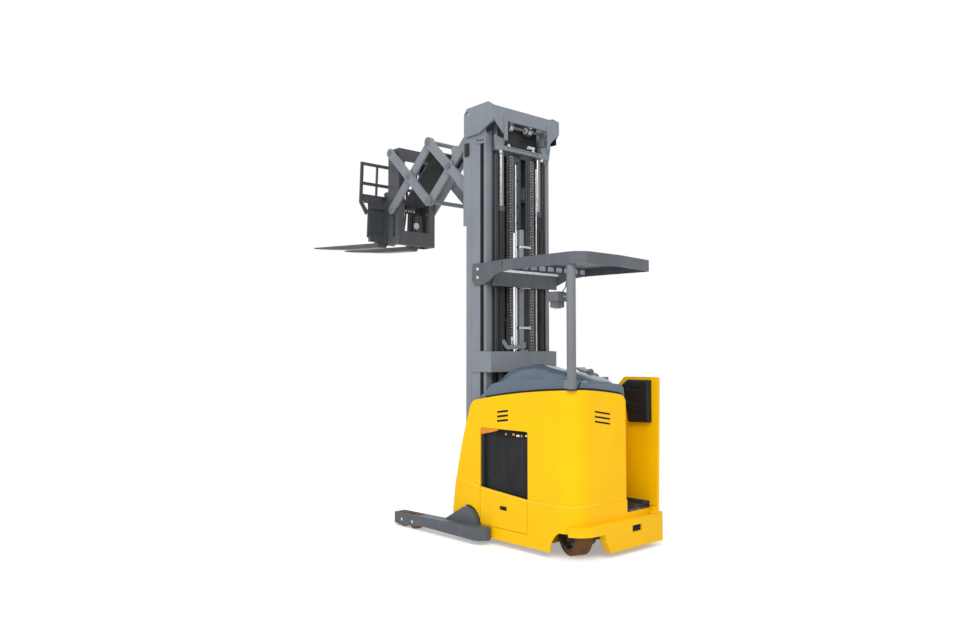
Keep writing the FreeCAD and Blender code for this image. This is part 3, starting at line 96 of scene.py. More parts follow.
def finish(name, colour, tone, patch, rough, grain, depth, metal=0.0, coat=0.0, edge=0.0015, wear=0.0,
           worn=None, dust=0.0, dustColour=(0.42, 0.39, 0.35), stretch=(1, 1, 1), specular=0.5, cells=False):
    material = bpy.data.materials.new(name)
    material.use_nodes = True
    tree = material.node_tree
    shader = tree.nodes["Principled BSDF"]
    place = addNode(tree, "TexCoord").outputs["Object"]

    def noise(scale, detail=3.0, scaling=(1, 1, 1), cellular=False):
        vector = addNode(tree, "Mapping", {"Scale": scaling}, {"Vector": place}).outputs["Vector"]
        if cellular:
            return addNode(tree, "TexVoronoi", {"Scale": scale}, {"Vector": vector}).outputs["Distance"]
        return addNode(tree, "TexNoise", {"Scale": scale, "Detail": detail},
                       {"Vector": vector}).outputs["Fac"]

    def ranged(value, *limits):
        values = dict(zip(("From Min", "From Max", "To Min", "To Max"), limits))
        return addNode(tree, "MapRange", values, {"Value": value}).outputs["Result"]

    def mixed(share, one, two):
        colours = {6: one, 7: two}
        flat = {socket: (*value, 1.0) for socket, value in colours.items() if isinstance(value, tuple)}
        feeds = {socket: value for socket, value in colours.items() if socket not in flat}
        return addNode(tree, "Mix", flat, {0: share, **feeds}, data_type="RGBA").outputs[2]

    paint = mixed(ranged(noise(patch), *surfaceSpec["blend"], 0, 1), colour, tone)
    roughness = ranged(noise(surfaceSpec["smears"], 4.0, stretch), *surfaceSpec["blend"], *rough)
    if dust:  # fine dust and smears that gather in soft vertical streaks
        streaks = noise(surfaceSpec["streaks"], 5.0, (1, 1, 0.22))
        paint = mixed(ranged(streaks, *surfaceSpec["streakBlend"], 0, dust), paint, dustColour)
    if wear:  # chipped edges, broken up by noise
        soft = addNode(tree, "Bevel", {"Radius": surfaceSpec["chipRadius"]}, samples=surfaceSpec["samples"])
        shape = addNode(tree, "NewGeometry")
        dot = addNode(tree, "VectorMath", None, {0: soft.outputs["Normal"], 1: shape.outputs["Normal"]},
                      operation="DOT_PRODUCT")
        edges = ranged(dot.outputs["Value"], *surfaceSpec["chipEdge"], 0, 1)
        chips = ranged(noise(surfaceSpec["chips"], 6.0), *surfaceSpec["chipBlend"], 0, wear)
        paint = mixed(addNode(tree, "Math", None, {0: edges, 1: chips}, operation="MULTIPLY").outputs[0],
                      paint, worn)
    feeds = {"Height": noise(grain, 2.0, stretch, cells)}
    if edge:
        feeds["Normal"] = addNode(tree, "Bevel", {"Radius": edge},
                                  samples=surfaceSpec["samples"]).outputs["Normal"]
    bump = addNode(tree, "Bump", {"Strength": surfaceSpec["relief"], "Distance": depth}, feeds)
    for socket, output in (("Base Color", paint), ("Roughness", roughness),
                           ("Normal", bump.outputs["Normal"])):
        tree.links.new(output, shader.inputs[socket])
    for socket, value in (("Metallic", metal), ("Coat Weight", coat),
                          ("Coat Roughness", surfaceSpec["coatRough"]), ("Specular IOR Level", specular)):
        shader.inputs[socket].default_value = value
    finishes[name] = material


finish("yellowEnamel", (0.95, 0.55, 0.0005), (0.91, 0.515, 0.0005), 2.2, (0.4, 0.48), 420.0, 0.00012,
       coat=0.03, edge=0.003, wear=0.12, worn=(0.55, 0.36, 0.06), specular=0.14)
# lighter yellow: painted highlight for the lit crest of the body bead
finish("paintedHighlightYellow", (1.0, 0.72, 0.06), (0.98, 0.68, 0.05), 2.2, (0.34, 0.42), 420.0, 0.0001, edge=0.0,
       specular=0.5)
finish("greyEnamel", (0.2, 0.226, 0.255), (0.178, 0.202, 0.23), 2.5, (0.36, 0.46), 500.0, 0.00012, coat=0.1,
       edge=0.002, wear=0.2, worn=(0.42, 0.43, 0.44), dust=0.06)
finish("legEnamel", (0.084, 0.097, 0.116), (0.074, 0.086, 0.102), 2.5, (0.4, 0.5), 500.0, 0.00012, edge=0.003,
       wear=0.2, worn=(0.3, 0.31, 0.32), dust=0.06, specular=0.4)
finish("postEnamel", (0.165, 0.175, 0.188), (0.15, 0.16, 0.172), 2.5, (0.4, 0.5), 500.0, 0.00012, edge=0.002,
       wear=0.2, worn=(0.36, 0.37, 0.38), dust=0.06, specular=0.4)
finish("slatePlate", (0.05, 0.06, 0.072), (0.042, 0.05, 0.062), 6.0, (0.36, 0.48), 400.0, 0.0002, edge=0.001,
       wear=0.2, worn=(0.22, 0.23, 0.24))
finish("darkEnamel", (0.062, 0.067, 0.075), (0.05, 0.055, 0.062), 3.0, (0.34, 0.46), 500.0, 0.00014,
       edge=0.002, wear=0.3, worn=(0.3, 0.3, 0.31), dust=0.04)
finish("blackEnamel", (0.014, 0.015, 0.017), (0.02, 0.021, 0.023), 3.0, (0.34, 0.48), 500.0, 0.00014,
       edge=0.0015, wear=0.3, worn=(0.2, 0.2, 0.21), dust=0.03, specular=0.25)
finish("hoodPlastic", (0.08, 0.116, 0.16), (0.072, 0.104, 0.144), 4.0, (0.26, 0.34), 950.0, 0.00001,
       edge=0.0015, coat=0.4)
finish("hardChrome", (0.44, 0.45, 0.46), (0.38, 0.39, 0.41), 5.0, (0.12, 0.22), 300.0, 0.00005, metal=1.0,
       stretch=(1, 1, 14), edge=0.001)
finish("rodSteel", (0.26, 0.265, 0.27), (0.22, 0.225, 0.23), 5.0, (0.2, 0.3), 300.0, 0.00005, metal=1.0,
       stretch=(1, 1, 14), edge=0.001)
# pale blue-white: painted light seen through the arches of the guard's cross rib
finish("paintedLightPale", (0.7, 0.78, 0.86), (0.6, 0.68, 0.76), 9.0, (0.4, 0.52), 300.0, 0.0001, edge=0.001)
finish("steelBright", (0.58, 0.59, 0.6), (0.46, 0.46, 0.46), 20.0, (0.24, 0.4), 500.0, 0.0001, metal=1.0,
       edge=0.0006)
finish("zincWhite", (0.8, 0.8, 0.78), (0.7, 0.7, 0.68), 20.0, (0.3, 0.42), 500.0, 0.0001, edge=0.0006)
finish("castBlack", (0.024, 0.024, 0.025), (0.036, 0.035, 0.034), 12.0, (0.48, 0.66), 260.0, 0.0006,
       edge=0.0015, wear=0.2, worn=(0.16, 0.15, 0.14), dust=0.2)
finish("chainSteel", (0.3, 0.3, 0.3), (0.2, 0.2, 0.2), 30.0, (0.3, 0.46), 400.0, 0.0002, metal=0.8, edge=0.0)
finish("tyreBrown", (0.15, 0.056, 0.006), (0.12, 0.044, 0.005), 9.0, (0.42, 0.6), 260.0, 0.0004, edge=0.003,
       dust=0.04, dustColour=(0.25, 0.17, 0.1), specular=0.35)
finish("matRubber", (0.03, 0.028, 0.028), (0.04, 0.037, 0.036), 8.0, (0.6, 0.78), 420.0, 0.0004, dust=0.3)
finish("padVinyl", (0.012, 0.013, 0.015), (0.017, 0.018, 0.02), 10.0, (0.36, 0.46), 1300.0, 0.0003,
       specular=0.22, cells=True, edge=0.0)
finish("hoseRubber", (0.018, 0.018, 0.019), (0.026, 0.026, 0.027), 20.0, (0.42, 0.58), 900.0, 0.0003,
       edge=0.0)
finish("batteryCase", (0.013, 0.014, 0.016), (0.018, 0.019, 0.021), 6.0, (0.5, 0.62), 300.0, 0.0003,
       edge=0.003, dust=0.02, specular=0.16)
# near-black for dark parts, and for painted shade in holes, recesses, gaps, creases and channels
finish("darkPartsAndPaintedShade", (0.012, 0.012, 0.013), (0.018, 0.018, 0.019), 8.0, (0.6, 0.8), 300.0, 0.0003, edge=0.0,
       specular=0.08)
# orange of the battery plugs, also used as painted shade on the yellow inner edge of the battery window
finish("orangePlugsAndShade", (0.78, 0.27, 0.006), (0.68, 0.23, 0.005), 12.0, (0.34, 0.46), 500.0, 0.0001, edge=0.001)
finish("redPaint", (0.6, 0.03, 0.045), (0.52, 0.022, 0.035), 12.0, (0.34, 0.46), 500.0, 0.0001, edge=0.001)
finish("lampPlastic", (0.11, 0.115, 0.12), (0.09, 0.094, 0.098), 12.0, (0.42, 0.55), 700.0, 0.0003,
       edge=0.002)
finish("lampGlass", (0.55, 0.56, 0.58), (0.46, 0.47, 0.5), 60.0, (0.1, 0.18), 90.0, 0.0012, coat=0.6,
       edge=0.0, cells=True)
finish("screenGlass", (0.02, 0.026, 0.03), (0.026, 0.032, 0.036), 12.0, (0.08, 0.14), 200.0, 0.00004,
       coat=0.5, edge=0.0)

slotFinish = {
    "truck_yellow": "yellowEnamel", "mast_grey": "greyEnamel", "frame_black": "darkEnamel",
    "hood_plastic": "hoodPlastic", "rod_chrome": "hardChrome", "pad_vinyl": "padVinyl",
    "mat_rubber": "matRubber", "tyre_poly": "tyreBrown", "hub_black": "castBlack",
    "battery_case": "batteryCase", "lamp_plastic": "lampPlastic"}
ownFinish = {
    "blackEnamel": ("lift_barrels", "reach_barrels", "free_lift_barrel"), "rodSteel": ("lift_rods",),
    "darkEnamel": ("left_fork", "right_fork", "front_frame"), "yellowEnamel": ("chassis_frame",),
    "legEnamel": ("left_leg", "right_leg", "mid_rail_left", "mid_rail_right", "inner_rail_left",
                  "inner_rail_right", "overhead_guard"),
    "slatePlate": ("hose_channel",), "postEnamel": ("guard_post",)}
nodeFinish = {node: material for material, group in ownFinish.items() for node in group}
for nodeName, nodeObject in nodes.items():
    nodeObject.data.materials.clear()
    nodeObject.data.materials.append(finishes[nodeFinish.get(nodeName, slotFinish[slots[nodeName]])])
print("finishes made:", len(finishes))


# shapes that the pieces share
def toward(start, axis):
    return Matrix.Translation(start) @ Vector(axis).to_track_quat("Z", "Y").to_matrix().to_4x4()


def bevelled(bm, edges, offset, steps=2):
    bmesh.ops.bevel(bm, geom=edges, offset=offset, affect="EDGES", segments=steps, profile=0.5, material=-1)


def edgesOf(verts):
    # each edge once, in the same order in every run
    return list(dict.fromkeys(line for vert in verts for line in vert.link_edges))


def drum(bm, start, end, radius, sides=28, edge=0.0, steps=2):
    start, end = Vector(start), Vector(end)
    run = end - start
    made = bmesh.ops.create_cone(bm, cap_ends=True, segments=sides, radius1=radius, radius2=radius,
                                 depth=run.length, matrix=toward((start + end) / 2, run))
    if edge:
        rims = [line for line in edgesOf(made["verts"])
                if any(len(face.verts) > 4 for face in line.link_faces)]
        bevelled(bm, rims, edge, steps)


def block(bm, lowCorner, highCorner, edge=0.002, turn=None):
    lowCorner, highCorner = Vector(lowCorner), Vector(highCorner)
    place = (Matrix.Translation((lowCorner + highCorner) / 2) @ (turn or Matrix.Identity(4))
             @ Matrix.Diagonal((*(highCorner - lowCorner), 1.0)))
    made = bmesh.ops.create_cube(bm, size=1.0, matrix=place)
    if edge:
        bevelled(bm, edgesOf(made["verts"]), edge)


def slab(bm, outline, thickness, edge=0.0015):
    first = [bm.verts.new(point) for point in outline]
    made = bmesh.ops.extrude_face_region(bm, geom=[bm.faces.new(first)])["geom"]
    moved = [part for part in made if isinstance(part, bmesh.types.BMVert)]
    bmesh.ops.translate(bm, verts=moved, vec=thickness)
    if edge:
        bevelled(bm, edgesOf(first + moved), edge)


def spun(bm, centre, axis, profile, sides=36, closed=False):
    # profile is (radius, distance along the axis) pairs; closed joins its last point to its first
    place = toward(centre, axis)
    points = [bm.verts.new(place @ Vector((radius, 0, along))) for radius, along in profile]
    lines = [bm.edges.new(pair) for pair in zip(points, points[1:] + ([points[0]] if closed else []))]
    bmesh.ops.spin(bm, geom=points + lines, cent=Vector(centre), axis=Vector(axis).normalized(),
                   dvec=(0, 0, 0), angle=math.tau, steps=sides, use_merge=True, use_duplicate=False)
    bmesh.ops.remove_doubles(bm, verts=bm.verts, dist=0.00001)


def stacked(bm, spot, axis, size, rings):
    # drums in line: start, end, radius and rounding in sizes, then sides and steps
    for low, high, radius, edge, sides, steps in rings:
        drum(bm, spot + axis * size * low, spot + axis * size * high, size * radius, sides, size * edge,
             steps)


boltSpec = {
    "washer": (0.0, 0.18, 1.0, 0.05, 24, 1), "head": (0.12, 0.8, 0.66, 0.09, 6, 2),
    "end": (0.7, 0.98, 0.34, 0.06, 16, 2)}
nutSpec = {"washer": (0.0, 0.2, 1.15, 0.05, 24, 1), "head": (0.15, 0.9, 0.85, 0.1, 6, 2), "dome": (0.95, 0.7)}


def hexBolt(bm, spot, axis, size, washer=True):
    rings = [boltSpec["head"], boltSpec["end"]]
    stacked(bm, spot, Vector(axis).normalized(), size, [boltSpec["washer"]] + rings if washer else rings)


def acornNut(bm, spot, axis, size):
    stacked(bm, spot, Vector(axis), size, (nutSpec["washer"], nutSpec["head"]))
    along, radius = nutSpec["dome"]
    bmesh.ops.create_uvsphere(bm, u_segments=20, v_segments=12, radius=size * radius,
                              matrix=Matrix.Translation(spot + Vector(axis) * size * along))


slotOf = {material: slot for slot, material in slotFinish.items()}
extraSlots = {
    "rod_chrome": ("steelBright", "zincWhite", "chainSteel", "rodSteel"), "truck_yellow": ("paintedHighlightYellow",),
    "frame_black": ("blackEnamel", "darkPartsAndPaintedShade"), "mat_rubber": ("hoseRubber",),
    "mast_grey": ("legEnamel", "postEnamel", "slatePlate", "paintedLightPale"),
    "lamp_plastic": ("redPaint", "orangePlugsAndShade", "lampGlass", "screenGlass")}
for slot, group in extraSlots.items():
    slotOf.update({material: slot for material in group})


def keep(name, mesh, body, material):
    mesh.materials.clear()
    mesh.materials.append(finishes[material])
    made = bpy.data.objects.new(name, mesh)
    collection.objects.link(made)
    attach(made, body)
    return made


def piece(name, body, material, build, sharp=32):
    bm = bmesh.new()
    build(bm)
    bmesh.ops.recalc_face_normals(bm, faces=bm.faces)
    mesh = bpy.data.meshes.new(name)
    bm.to_mesh(mesh)
    bm.free()
    mesh.shade_smooth()
    mesh.set_sharp_from_angle(angle=math.radians(sharp))
    return keep(name, mesh, body, material)


def hoses(name, material, routes, radius, rings=4, body="chassis"):
    curve = bpy.data.curves.new(name, "CURVE")
    curve.dimensions = "3D"
    curve.bevel_depth = radius
    curve.bevel_resolution = rings
    curve.use_fill_caps = True
    for route in routes:
        spline = curve.splines.new("NURBS")
        spline.points.add(len(route) - 1)
        for point, spot in zip(spline.points, route):
            point.co = (*spot, 1.0)
        spline.order_u = 3
        spline.use_endpoint_u = True
        spline.resolution_u = 8
    holder = bpy.data.objects.new(name + "Curve", curve)
    collection.objects.link(holder)
    bpy.context.view_layer.update()
    mesh = bpy.data.meshes.new_from_object(holder.evaluated_get(bpy.context.evaluated_depsgraph_get()))
    bpy.data.objects.remove(holder)
    mesh.shade_smooth()
    return keep(name, mesh, body, material)


def riding(material, body="chassis"):
    # builds the function below it as a piece of that name on a CAD body
    def store(build):
        piece(build.__name__, body, material, build)
        return build
    return store


def plate(bm, x, y, z, edge=0.0):
    # a block between pairs of limits along, across and up
    block(bm, at(x[0], y[0], z[0]), at(x[1], y[1], z[1]), edge)


def plates(name, material, single=(), mirrored=(), edge=0.0, body="chassis"):
    # a piece made of plates, each (x, y, z) limits and its own edge where it has one
    def build(bm):
        for x, y, z, *own in single:
            plate(bm, x, y, z, *(own or [edge]))
        for x, y, z, *own in mirrored:
            for side in (1, -1):
                plate(bm, x, sorted((side * y[0], side * y[1])), z, *(own or [edge]))
    piece(name, body, material, build)


def drums(name, material, runs, radius, sides=20, edge=0.0, mirrored=False, body="chassis"):
    # a piece made of drums, each from its start to its end
    def build(bm):
        for start, end in runs:
            for side in (1, -1) if mirrored else (1,):
                drum(bm, *(at(x, side * y, z) for x, y, z in (start, end)), radius, sides, edge)
    piece(name, body, material, build)


def sideSlabs(bm, outline, y, thick, edge=0.0015):
    # the same (x, z) outline on both sides of the truck
    for side in (1, -1):
        slab(bm, [at(x, side * y, z) for x, z in outline], Vector((0, side * thick, 0)), edge)


def slabs(name, material, *shape):
    piece(name, "chassis", material, lambda bm: sideSlabs(bm, *shape))


def stepped(first, step, count):
    return [first + number * step for number in range(count)]


def span(start, limits):
    return start + limits[0], start + limits[1]


# leaf chains: the rear strand is fixed to the chassis, the one ahead of it climbs with the middle mast
chainSpec = {
    "pitch": 0.0254, "wide": 0.04, "deep": 0.011, "pin": 0.0032, "pinHigh": 0.011, "proud": 0.002,
    "top": 3.24, "cheek": 0.006, "cheekHigh": (-0.002, 0.022), "core": 0.008, "coreDeep": (0.001, 0.01),
    "coreHigh": (0.005, 0.017), "rear": 1.074, "climbing": 1.108, "strands": ((0.117, 1.665), (-0.135, 1.4))}


def leafChain(x):
    def build(bm):
        half, middle = chainSpec["wide"] / 2, x + chainSpec["deep"] / 2
        pinHalf = half + chainSpec["proud"]
        for y, bottom in chainSpec["strands"]:
            core = (y - half + chainSpec["core"], y + half - chainSpec["core"])
            for link in range(int((chainSpec["top"] - bottom) / chainSpec["pitch"])):
                z = bottom + link * chainSpec["pitch"]
                for wing in (-1, 1):
                    cheek = sorted((y + wing * half, y + wing * (half - chainSpec["cheek"])))
                    plate(bm, (x, x + chainSpec["deep"]), cheek, span(z, chainSpec["cheekHigh"]))
                plate(bm, span(x, chainSpec["coreDeep"]), core, span(z, chainSpec["coreHigh"]))
                ends = [at(middle, y + wing * pinHalf, z + chainSpec["pinHigh"]) for wing in (-1, 1)]
                drum(bm, *ends, chainSpec["pin"], sides=8)
    return build


piece("rearChains", "chassis", "chainSteel", leafChain(chainSpec["rear"]))
piece("climbingChains", "middle_mast", "chainSteel", leafChain(chainSpec["climbing"]))

anchorSpec = {
    "x": 1.079, "block": (1.066, 1.092), "half": 0.022, "high": (-0.03, 0.004), "rod": 0.009,
    "rodHigh": (-0.1, -0.028), "nut": 0.016, "nutHigh": -0.052}


@riding("zincWhite")
def chainAnchors(bm):
    x, half = anchorSpec["x"], anchorSpec["half"]
    for y, bottom in chainSpec["strands"]:
        plate(bm, anchorSpec["block"], (y - half, y + half), span(bottom, anchorSpec["high"]), 0.003)
        ends = [at(x, y, z) for z in span(bottom, anchorSpec["rodHigh"])]
        drum(bm, *ends, anchorSpec["rod"], sides=16)
        hexBolt(bm, at(x, y, bottom + anchorSpec["nutHigh"]), (0, 0, -1), anchorSpec["nut"])


# mast pipes, cables and the dark guard beside the lift cylinder
lineSpec = {
    "pipes": ((1.068, 0.074), (1.07, -0.182)), "pipeHeights": (1.3, 2.4, 3.16), "pipe": 0.0065,
    "hoses": ((1.064, -0.052), (1.064, -0.074), (1.072, 0.292), (1.072, 0.31), (1.072, -0.292)),
    "hoseHeights": (1.4, 2.3, 3.22), "hose": 0.009}


def standing(places, heights):
    return [[at(x, y, z) for z in heights] for x, y in places]


hoses("mastPipes", "steelBright", standing(lineSpec["pipes"], lineSpec["pipeHeights"]), lineSpec["pipe"])
hoses("mastHoses", "hoseRubber", standing(lineSpec["hoses"], lineSpec["hoseHeights"]), lineSpec["hose"])
plates("cylinderGuard", "blackEnamel", edge=0.002, single=[
    ((1.056, 1.066), (0.146, 0.196), (1.3, 1.845)), ((1.056, 1.066), (-0.262, -0.214), (1.3, 2.6)),
    ((1.064, 1.078), (0.15, 0.23), (1.4, 1.42)), ((1.064, 1.078), (0.15, 0.23), (1.8, 1.82))])

# head of the middle mast: chain sheaves on their shaft between two ears, springs and rod caps
headSpec = {
    "x": 1.1, "z": 3.492, "shaft": 0.0115, "half": 0.3, "sheaves": ((0.134, 0.054), (-0.1, 0.05)),
    "rim": ((0.02, 0.0), (0.015, 0.0), (0.013, 0.008)), "bore": 0.012, "hub": 0.52, "cap": 0.55,
    "disc": (0.02, 0.026),
    "ear": ((1.075, 3.375), (1.16, 3.395), (1.16, 3.44), (1.125, 3.52), (1.078, 3.52)), "earY": 0.284,
    "earThick": 0.008, "nuts": ((1.075, 0.15, 3.304, 1, 0.017), (1.068, 0.254, 3.26, -1, 0.016))}


def onShaft(y):
    return at(headSpec["x"], y, headSpec["z"])


@riding("steelBright", "middle_mast")
def sheaves(bm):
    wide, bore = headSpec["rim"][0][0], headSpec["bore"]
    for y, radius in headSpec["sheaves"]:
        rim = [(radius - sunk, -along) for along, sunk in headSpec["rim"]]
        rim += [(far, -along) for far, along in reversed(rim)]
        spun(bm, onShaft(y), (0, 1, 0), [(bore, -wide)] + rim + [(bore, wide)])


@riding("greyEnamel", "middle_mast")
def sheaveShaft(bm):
    drum(bm, onShaft(-headSpec["half"]), onShaft(headSpec["half"]), headSpec["shaft"], sides=20, edge=0.002)
    sideSlabs(bm, headSpec["ear"], headSpec["earY"], headSpec["earThick"])


def sheaveDiscs(bm, sheave, share):
    y, radius = sheave
    for side in (-1, 1):
        ends = [onShaft(y + side * out) for out in headSpec["disc"]]
        drum(bm, *ends, radius * share, edge=0.002)


@riding("redPaint", "middle_mast")
def sheaveHubs(bm):
    sheaveDiscs(bm, headSpec["sheaves"][0], headSpec["hub"])


@riding("zincWhite", "middle_mast")
def whiteCaps(bm):
    sheaveDiscs(bm, headSpec["sheaves"][1], headSpec["cap"])
    for x, y, z, up, size in headSpec["nuts"]:
        for side in (-1, 1):
            acornNut(bm, at(x, side * y, z), (0, 0, up), size)


springSpec = {"turns": 7, "steps": 10, "radius": 0.011, "start": (1.03, -0.12, 3.325), "rise": 0.0012,
              "wire": 0.0028}


@riding("zincWhite", "middle_mast")
def headSpring(bm):
    x, y, z = springSpec["start"]
    path = []
    for step in range(springSpec["turns"] * springSpec["steps"]):
        turn = math.tau * step / springSpec["steps"]
        path.append(at(x + springSpec["radius"] * math.cos(turn), y + step * springSpec["rise"],
                       z + springSpec["radius"] * math.sin(turn)))
    for start, end in zip(path, path[1:]):
        drum(bm, start, end, springSpec["wire"], sides=6)
        bmesh.ops.create_icosphere(bm, subdivisions=1, radius=springSpec["wire"],
                                   matrix=Matrix.Translation(end))


# glands at the mouths of the cylinders: bore, outer radius and the two ends along the axis
glandSpec = {
    "lift": (1.094, 0.226), "liftRings": ((2.77, 0.0262, 0.0335, -0.03, 0.014),
                                          (2.2, 0.0312, 0.0335, -0.012, 0.012)),
    "free": (1.225, 1.605), "freeRing": (0.0292, 0.042, -0.035, 0.012), "reachY": 0.07, "foot": (1.45, 2.7),
    "head": (1.724, 3.3333), "reachRing": (0.019, 0.0335, -0.03, 0.01), "along": 0.43, "lugs": (0.06, 0.395)}


def ringAt(bm, spot, axis, bore, radius, lowEnd, highEnd):
    spun(bm, spot, axis, [(bore, lowEnd), (radius - 0.0015, lowEnd), (radius, lowEnd + 0.002),
                          (radius, highEnd - 0.003), (radius - 0.003, highEnd), (bore, highEnd)], closed=True)


@riding("slatePlate")
def liftGlands(bm):
    x, y = glandSpec["lift"]
    for side in (-1, 1):
        for z, *ring in glandSpec["liftRings"]:
            ringAt(bm, at(x, side * y, z), (0, 0, 1), *ring)


@riding("steelBright", "inner_mast")
def freeGland(bm):
    ringAt(bm, at(glandSpec["free"][0], 0, glandSpec["free"][1]), (0, 0, 1), *glandSpec["freeRing"])


@riding("steelBright", "reach_barrel")
def reachGlands(bm):
    (footX, footZ), (headX, headZ) = glandSpec["foot"], glandSpec["head"]
    run = Vector((headX - footX, 0, headZ - footZ)).normalized()
    for side in (-1, 1):
        foot = at(footX, side * glandSpec["reachY"], footZ)
        ringAt(bm, foot + run * glandSpec["along"], run, *glandSpec["reachRing"])
        for along in glandSpec["lugs"]:
            spot = foot + run * along + Vector((0.0, side * 0.0295, 0.0))
            block(bm, spot - Vector((0.012, 0.004, 0.012)), spot + Vector((0.012, 0.01, 0.012)), 0.002)


# pantograph: caps with a bolt at the pivots, on the outer faces of the links (x, z, y, radius)
pivotSpec = {
    "rear_drive": ((1.7299, 3.2304, 0.2932, 0.031),),
    "rear_cross": ((2.0297, 3.51, 0.2852, 0.036), (1.43, 2.9508, 0.2852, 0.03)),
    "front_drive": ((2.0297, 2.9508, 0.2852, 0.036), (2.3296, 3.2304, 0.2872, 0.031)),
    "front_cross": ((2.6294, 2.9508, 0.2572, 0.024),), "reach_head": ((2.6294, 3.51, 0.2847, 0.029),),
    "carriage": ((1.43, 3.51, 0.2567, 0.022),)}
capSpec = {"thick": 0.0045, "thin": 0.003, "boltedFrom": 0.28, "bolt": 0.0085}


def pivotCaps(spots):
    def build(bm):
        for x, z, y, radius in spots:
            bolted = y > capSpec["boltedFrom"]
            for side in (-1, 1):
                face, out = at(x, side * y, z), Vector((0, side, 0))
                top = face + out * capSpec["thick" if bolted else "thin"]
                drum(bm, face, top, radius, sides=40, edge=0.0012)
                if bolted:
                    hexBolt(bm, top, out, capSpec["bolt"], washer=False)
    return build


for bodyName, spots in pivotSpec.items():
    piece(bodyName + "Caps", bodyName, "postEnamel", pivotCaps(spots))
print("mast and pantograph fittings built")

# valves, pumps and hoses between the columns of the front reach frame
valveSpec = {
    "block": ((2.646, 2.71), (-0.085, 0.06), (2.98, 3.08)), "spools": (-0.06, -0.02, 0.02),
    "spoolX": 2.678, "spoolHigh": (3.08, 3.13), "spool": 0.017, "portX": 2.68, "portHigh": (2.955, 2.982),
    "port": 0.01, "gauge": ((2.644, -0.075, 2.82), (2.662, -0.075, 2.82)), "gaugeRadius": 0.033,
    "pumps": ((-0.14, 2.93), (0.1, 2.9)), "pumpFoot": (2.676, 2.69), "pump": 0.026,
    "ports": (-0.065, -0.03, 0.005, 0.04), "feeds": (-0.1, -0.06, 0.08), "hose": 0.0085,
    "portRun": ((2.68, 1, 2.96), (2.684, 1.1, 2.86), (2.69, 1.5, 2.76), (2.694, 1.4, 2.7)),
    "feedRun": ((2.664, 1, 3.44), (2.668, 0.8, 3.3), (2.672, 0.6, 3.2), (2.678, 0.4, 3.12))}


@riding("castBlack", "reach_head")
def valveBlock(bm):
    plate(bm, *valveSpec["block"], 0.004)
    for y in valveSpec["spools"]:
        ends = [at(valveSpec["spoolX"], y, z) for z in valveSpec["spoolHigh"]]
        drum(bm, *ends, valveSpec["spool"], sides=24, edge=0.003)
    x, foot = valveSpec["pumpFoot"]
    for y, top in valveSpec["pumps"]:
        drum(bm, at(x, y, foot), at(x, y, top), valveSpec["pump"], edge=0.004)


@riding("zincWhite", "reach_head")
def valveFittings(bm):
    for y in valveSpec["ports"]:
        ends = [at(valveSpec["portX"], y, z) for z in valveSpec["portHigh"]]
        drum(bm, *ends, valveSpec["port"], sides=6, edge=0.001)
    ends = [at(*spot) for spot in valveSpec["gauge"]]
    drum(bm, *ends, valveSpec["gaugeRadius"], sides=36, edge=0.004)


def fanned(starts, run):
    # hoses whose distance from the middle is scaled from point to point
    return [[at(x, y * spread, z) for x, spread, z in run] for y in starts]


hoses(
    "frontHoses", "hoseRubber",
    fanned(valveSpec["ports"], valveSpec["portRun"]) + fanned(valveSpec["feeds"], valveSpec["feedRun"]),
    valveSpec["hose"], body="reach_head")

# hoses inside the rear frame, clear of the links
rearHoseSpec = {
    "starts": (-0.128, -0.112, 0.112, 0.128), "radius": 0.0075,
    "run": ((1.395, 1, 3.4), (1.4, 1, 3.2), (1.404, 0.9, 3.0), (1.41, 0.8, 2.78))}
hoses(
    "rearFrameHoses", "hoseRubber", fanned(rearHoseSpec["starts"], rearHoseSpec["run"]),
    rearHoseSpec["radius"], body="carriage")

# fork carriage: built upright, then leant back with the forks about their pivot
forkSpec = {
    "bar": 2.8414, "high": 3.047, "fork": 0.2, "pivot": (2.7774, 0, 3.12), "lean": -3.0,
    "notches": (-0.32, 0.08, 9), "notchHalf": 0.008, "notchDeep": (-0.03, -0.004),
    "notchHigh": (-0.004, 0.0006), "clear": 0.07, "topFace": 0.018,
    "topBolts": ((0.3, 3.052), (0.41, 3.052), (0.34, 3.078), (0.42, 3.078)), "bolt": 0.011,
    "lowBolts": ((0.3, 2.73), (0.35, 2.73), (0.3, 2.95), (0.35, 2.95))}


def turnedAbout(spot, degrees, axis):
    return (Matrix.Translation(spot) @ Matrix.Rotation(math.radians(degrees), 4, axis)
            @ Matrix.Translation(-spot))


def leant(bm):
    turn = turnedAbout(at(*forkSpec["pivot"]), forkSpec["lean"], "Y")
    bmesh.ops.transform(bm, matrix=turn, verts=bm.verts)


@riding("blackEnamel", "forks")
def forkPins(bm):
    for side in (-1, 1):
        spot = at(forkSpec["bar"] + 0.008, side * forkSpec["fork"], forkSpec["high"] + 0.012)
        block(bm, spot - Vector((0.022, 0.028, 0.01)), spot + Vector((0.026, 0.028, 0.014)), 0.004)
        drum(bm, spot + Vector((0, 0, 0.01)), spot + Vector((0, 0, 0.04)), 0.011, sides=20, edge=0.003)
    leant(bm)


@riding("steelBright", "forks")
def carriageBolts(bm):
    back = forkSpec["bar"]
    for face, spots in ((back + forkSpec["topFace"], forkSpec["topBolts"]), (back, forkSpec["lowBolts"])):
        for side in (-1, 1):
            for y, z in spots:
                hexBolt(bm, at(face, side * y, z), (1, 0, 0), forkSpec["bolt"])
    leant(bm)


# painted shade: dark blocks in the notches along the top bar
@riding("darkPartsAndPaintedShade", "forks")
def forkNotchShade(bm):
    deep, tall = span(forkSpec["bar"], forkSpec["notchDeep"]), span(forkSpec["high"], forkSpec["notchHigh"])
    half = forkSpec["notchHalf"]
    for y in stepped(*forkSpec["notches"]):
        if abs(abs(y) - forkSpec["fork"]) > forkSpec["clear"]:  # none behind a fork
            plate(bm, deep, (y - half, y + half), tall)
    leant(bm)
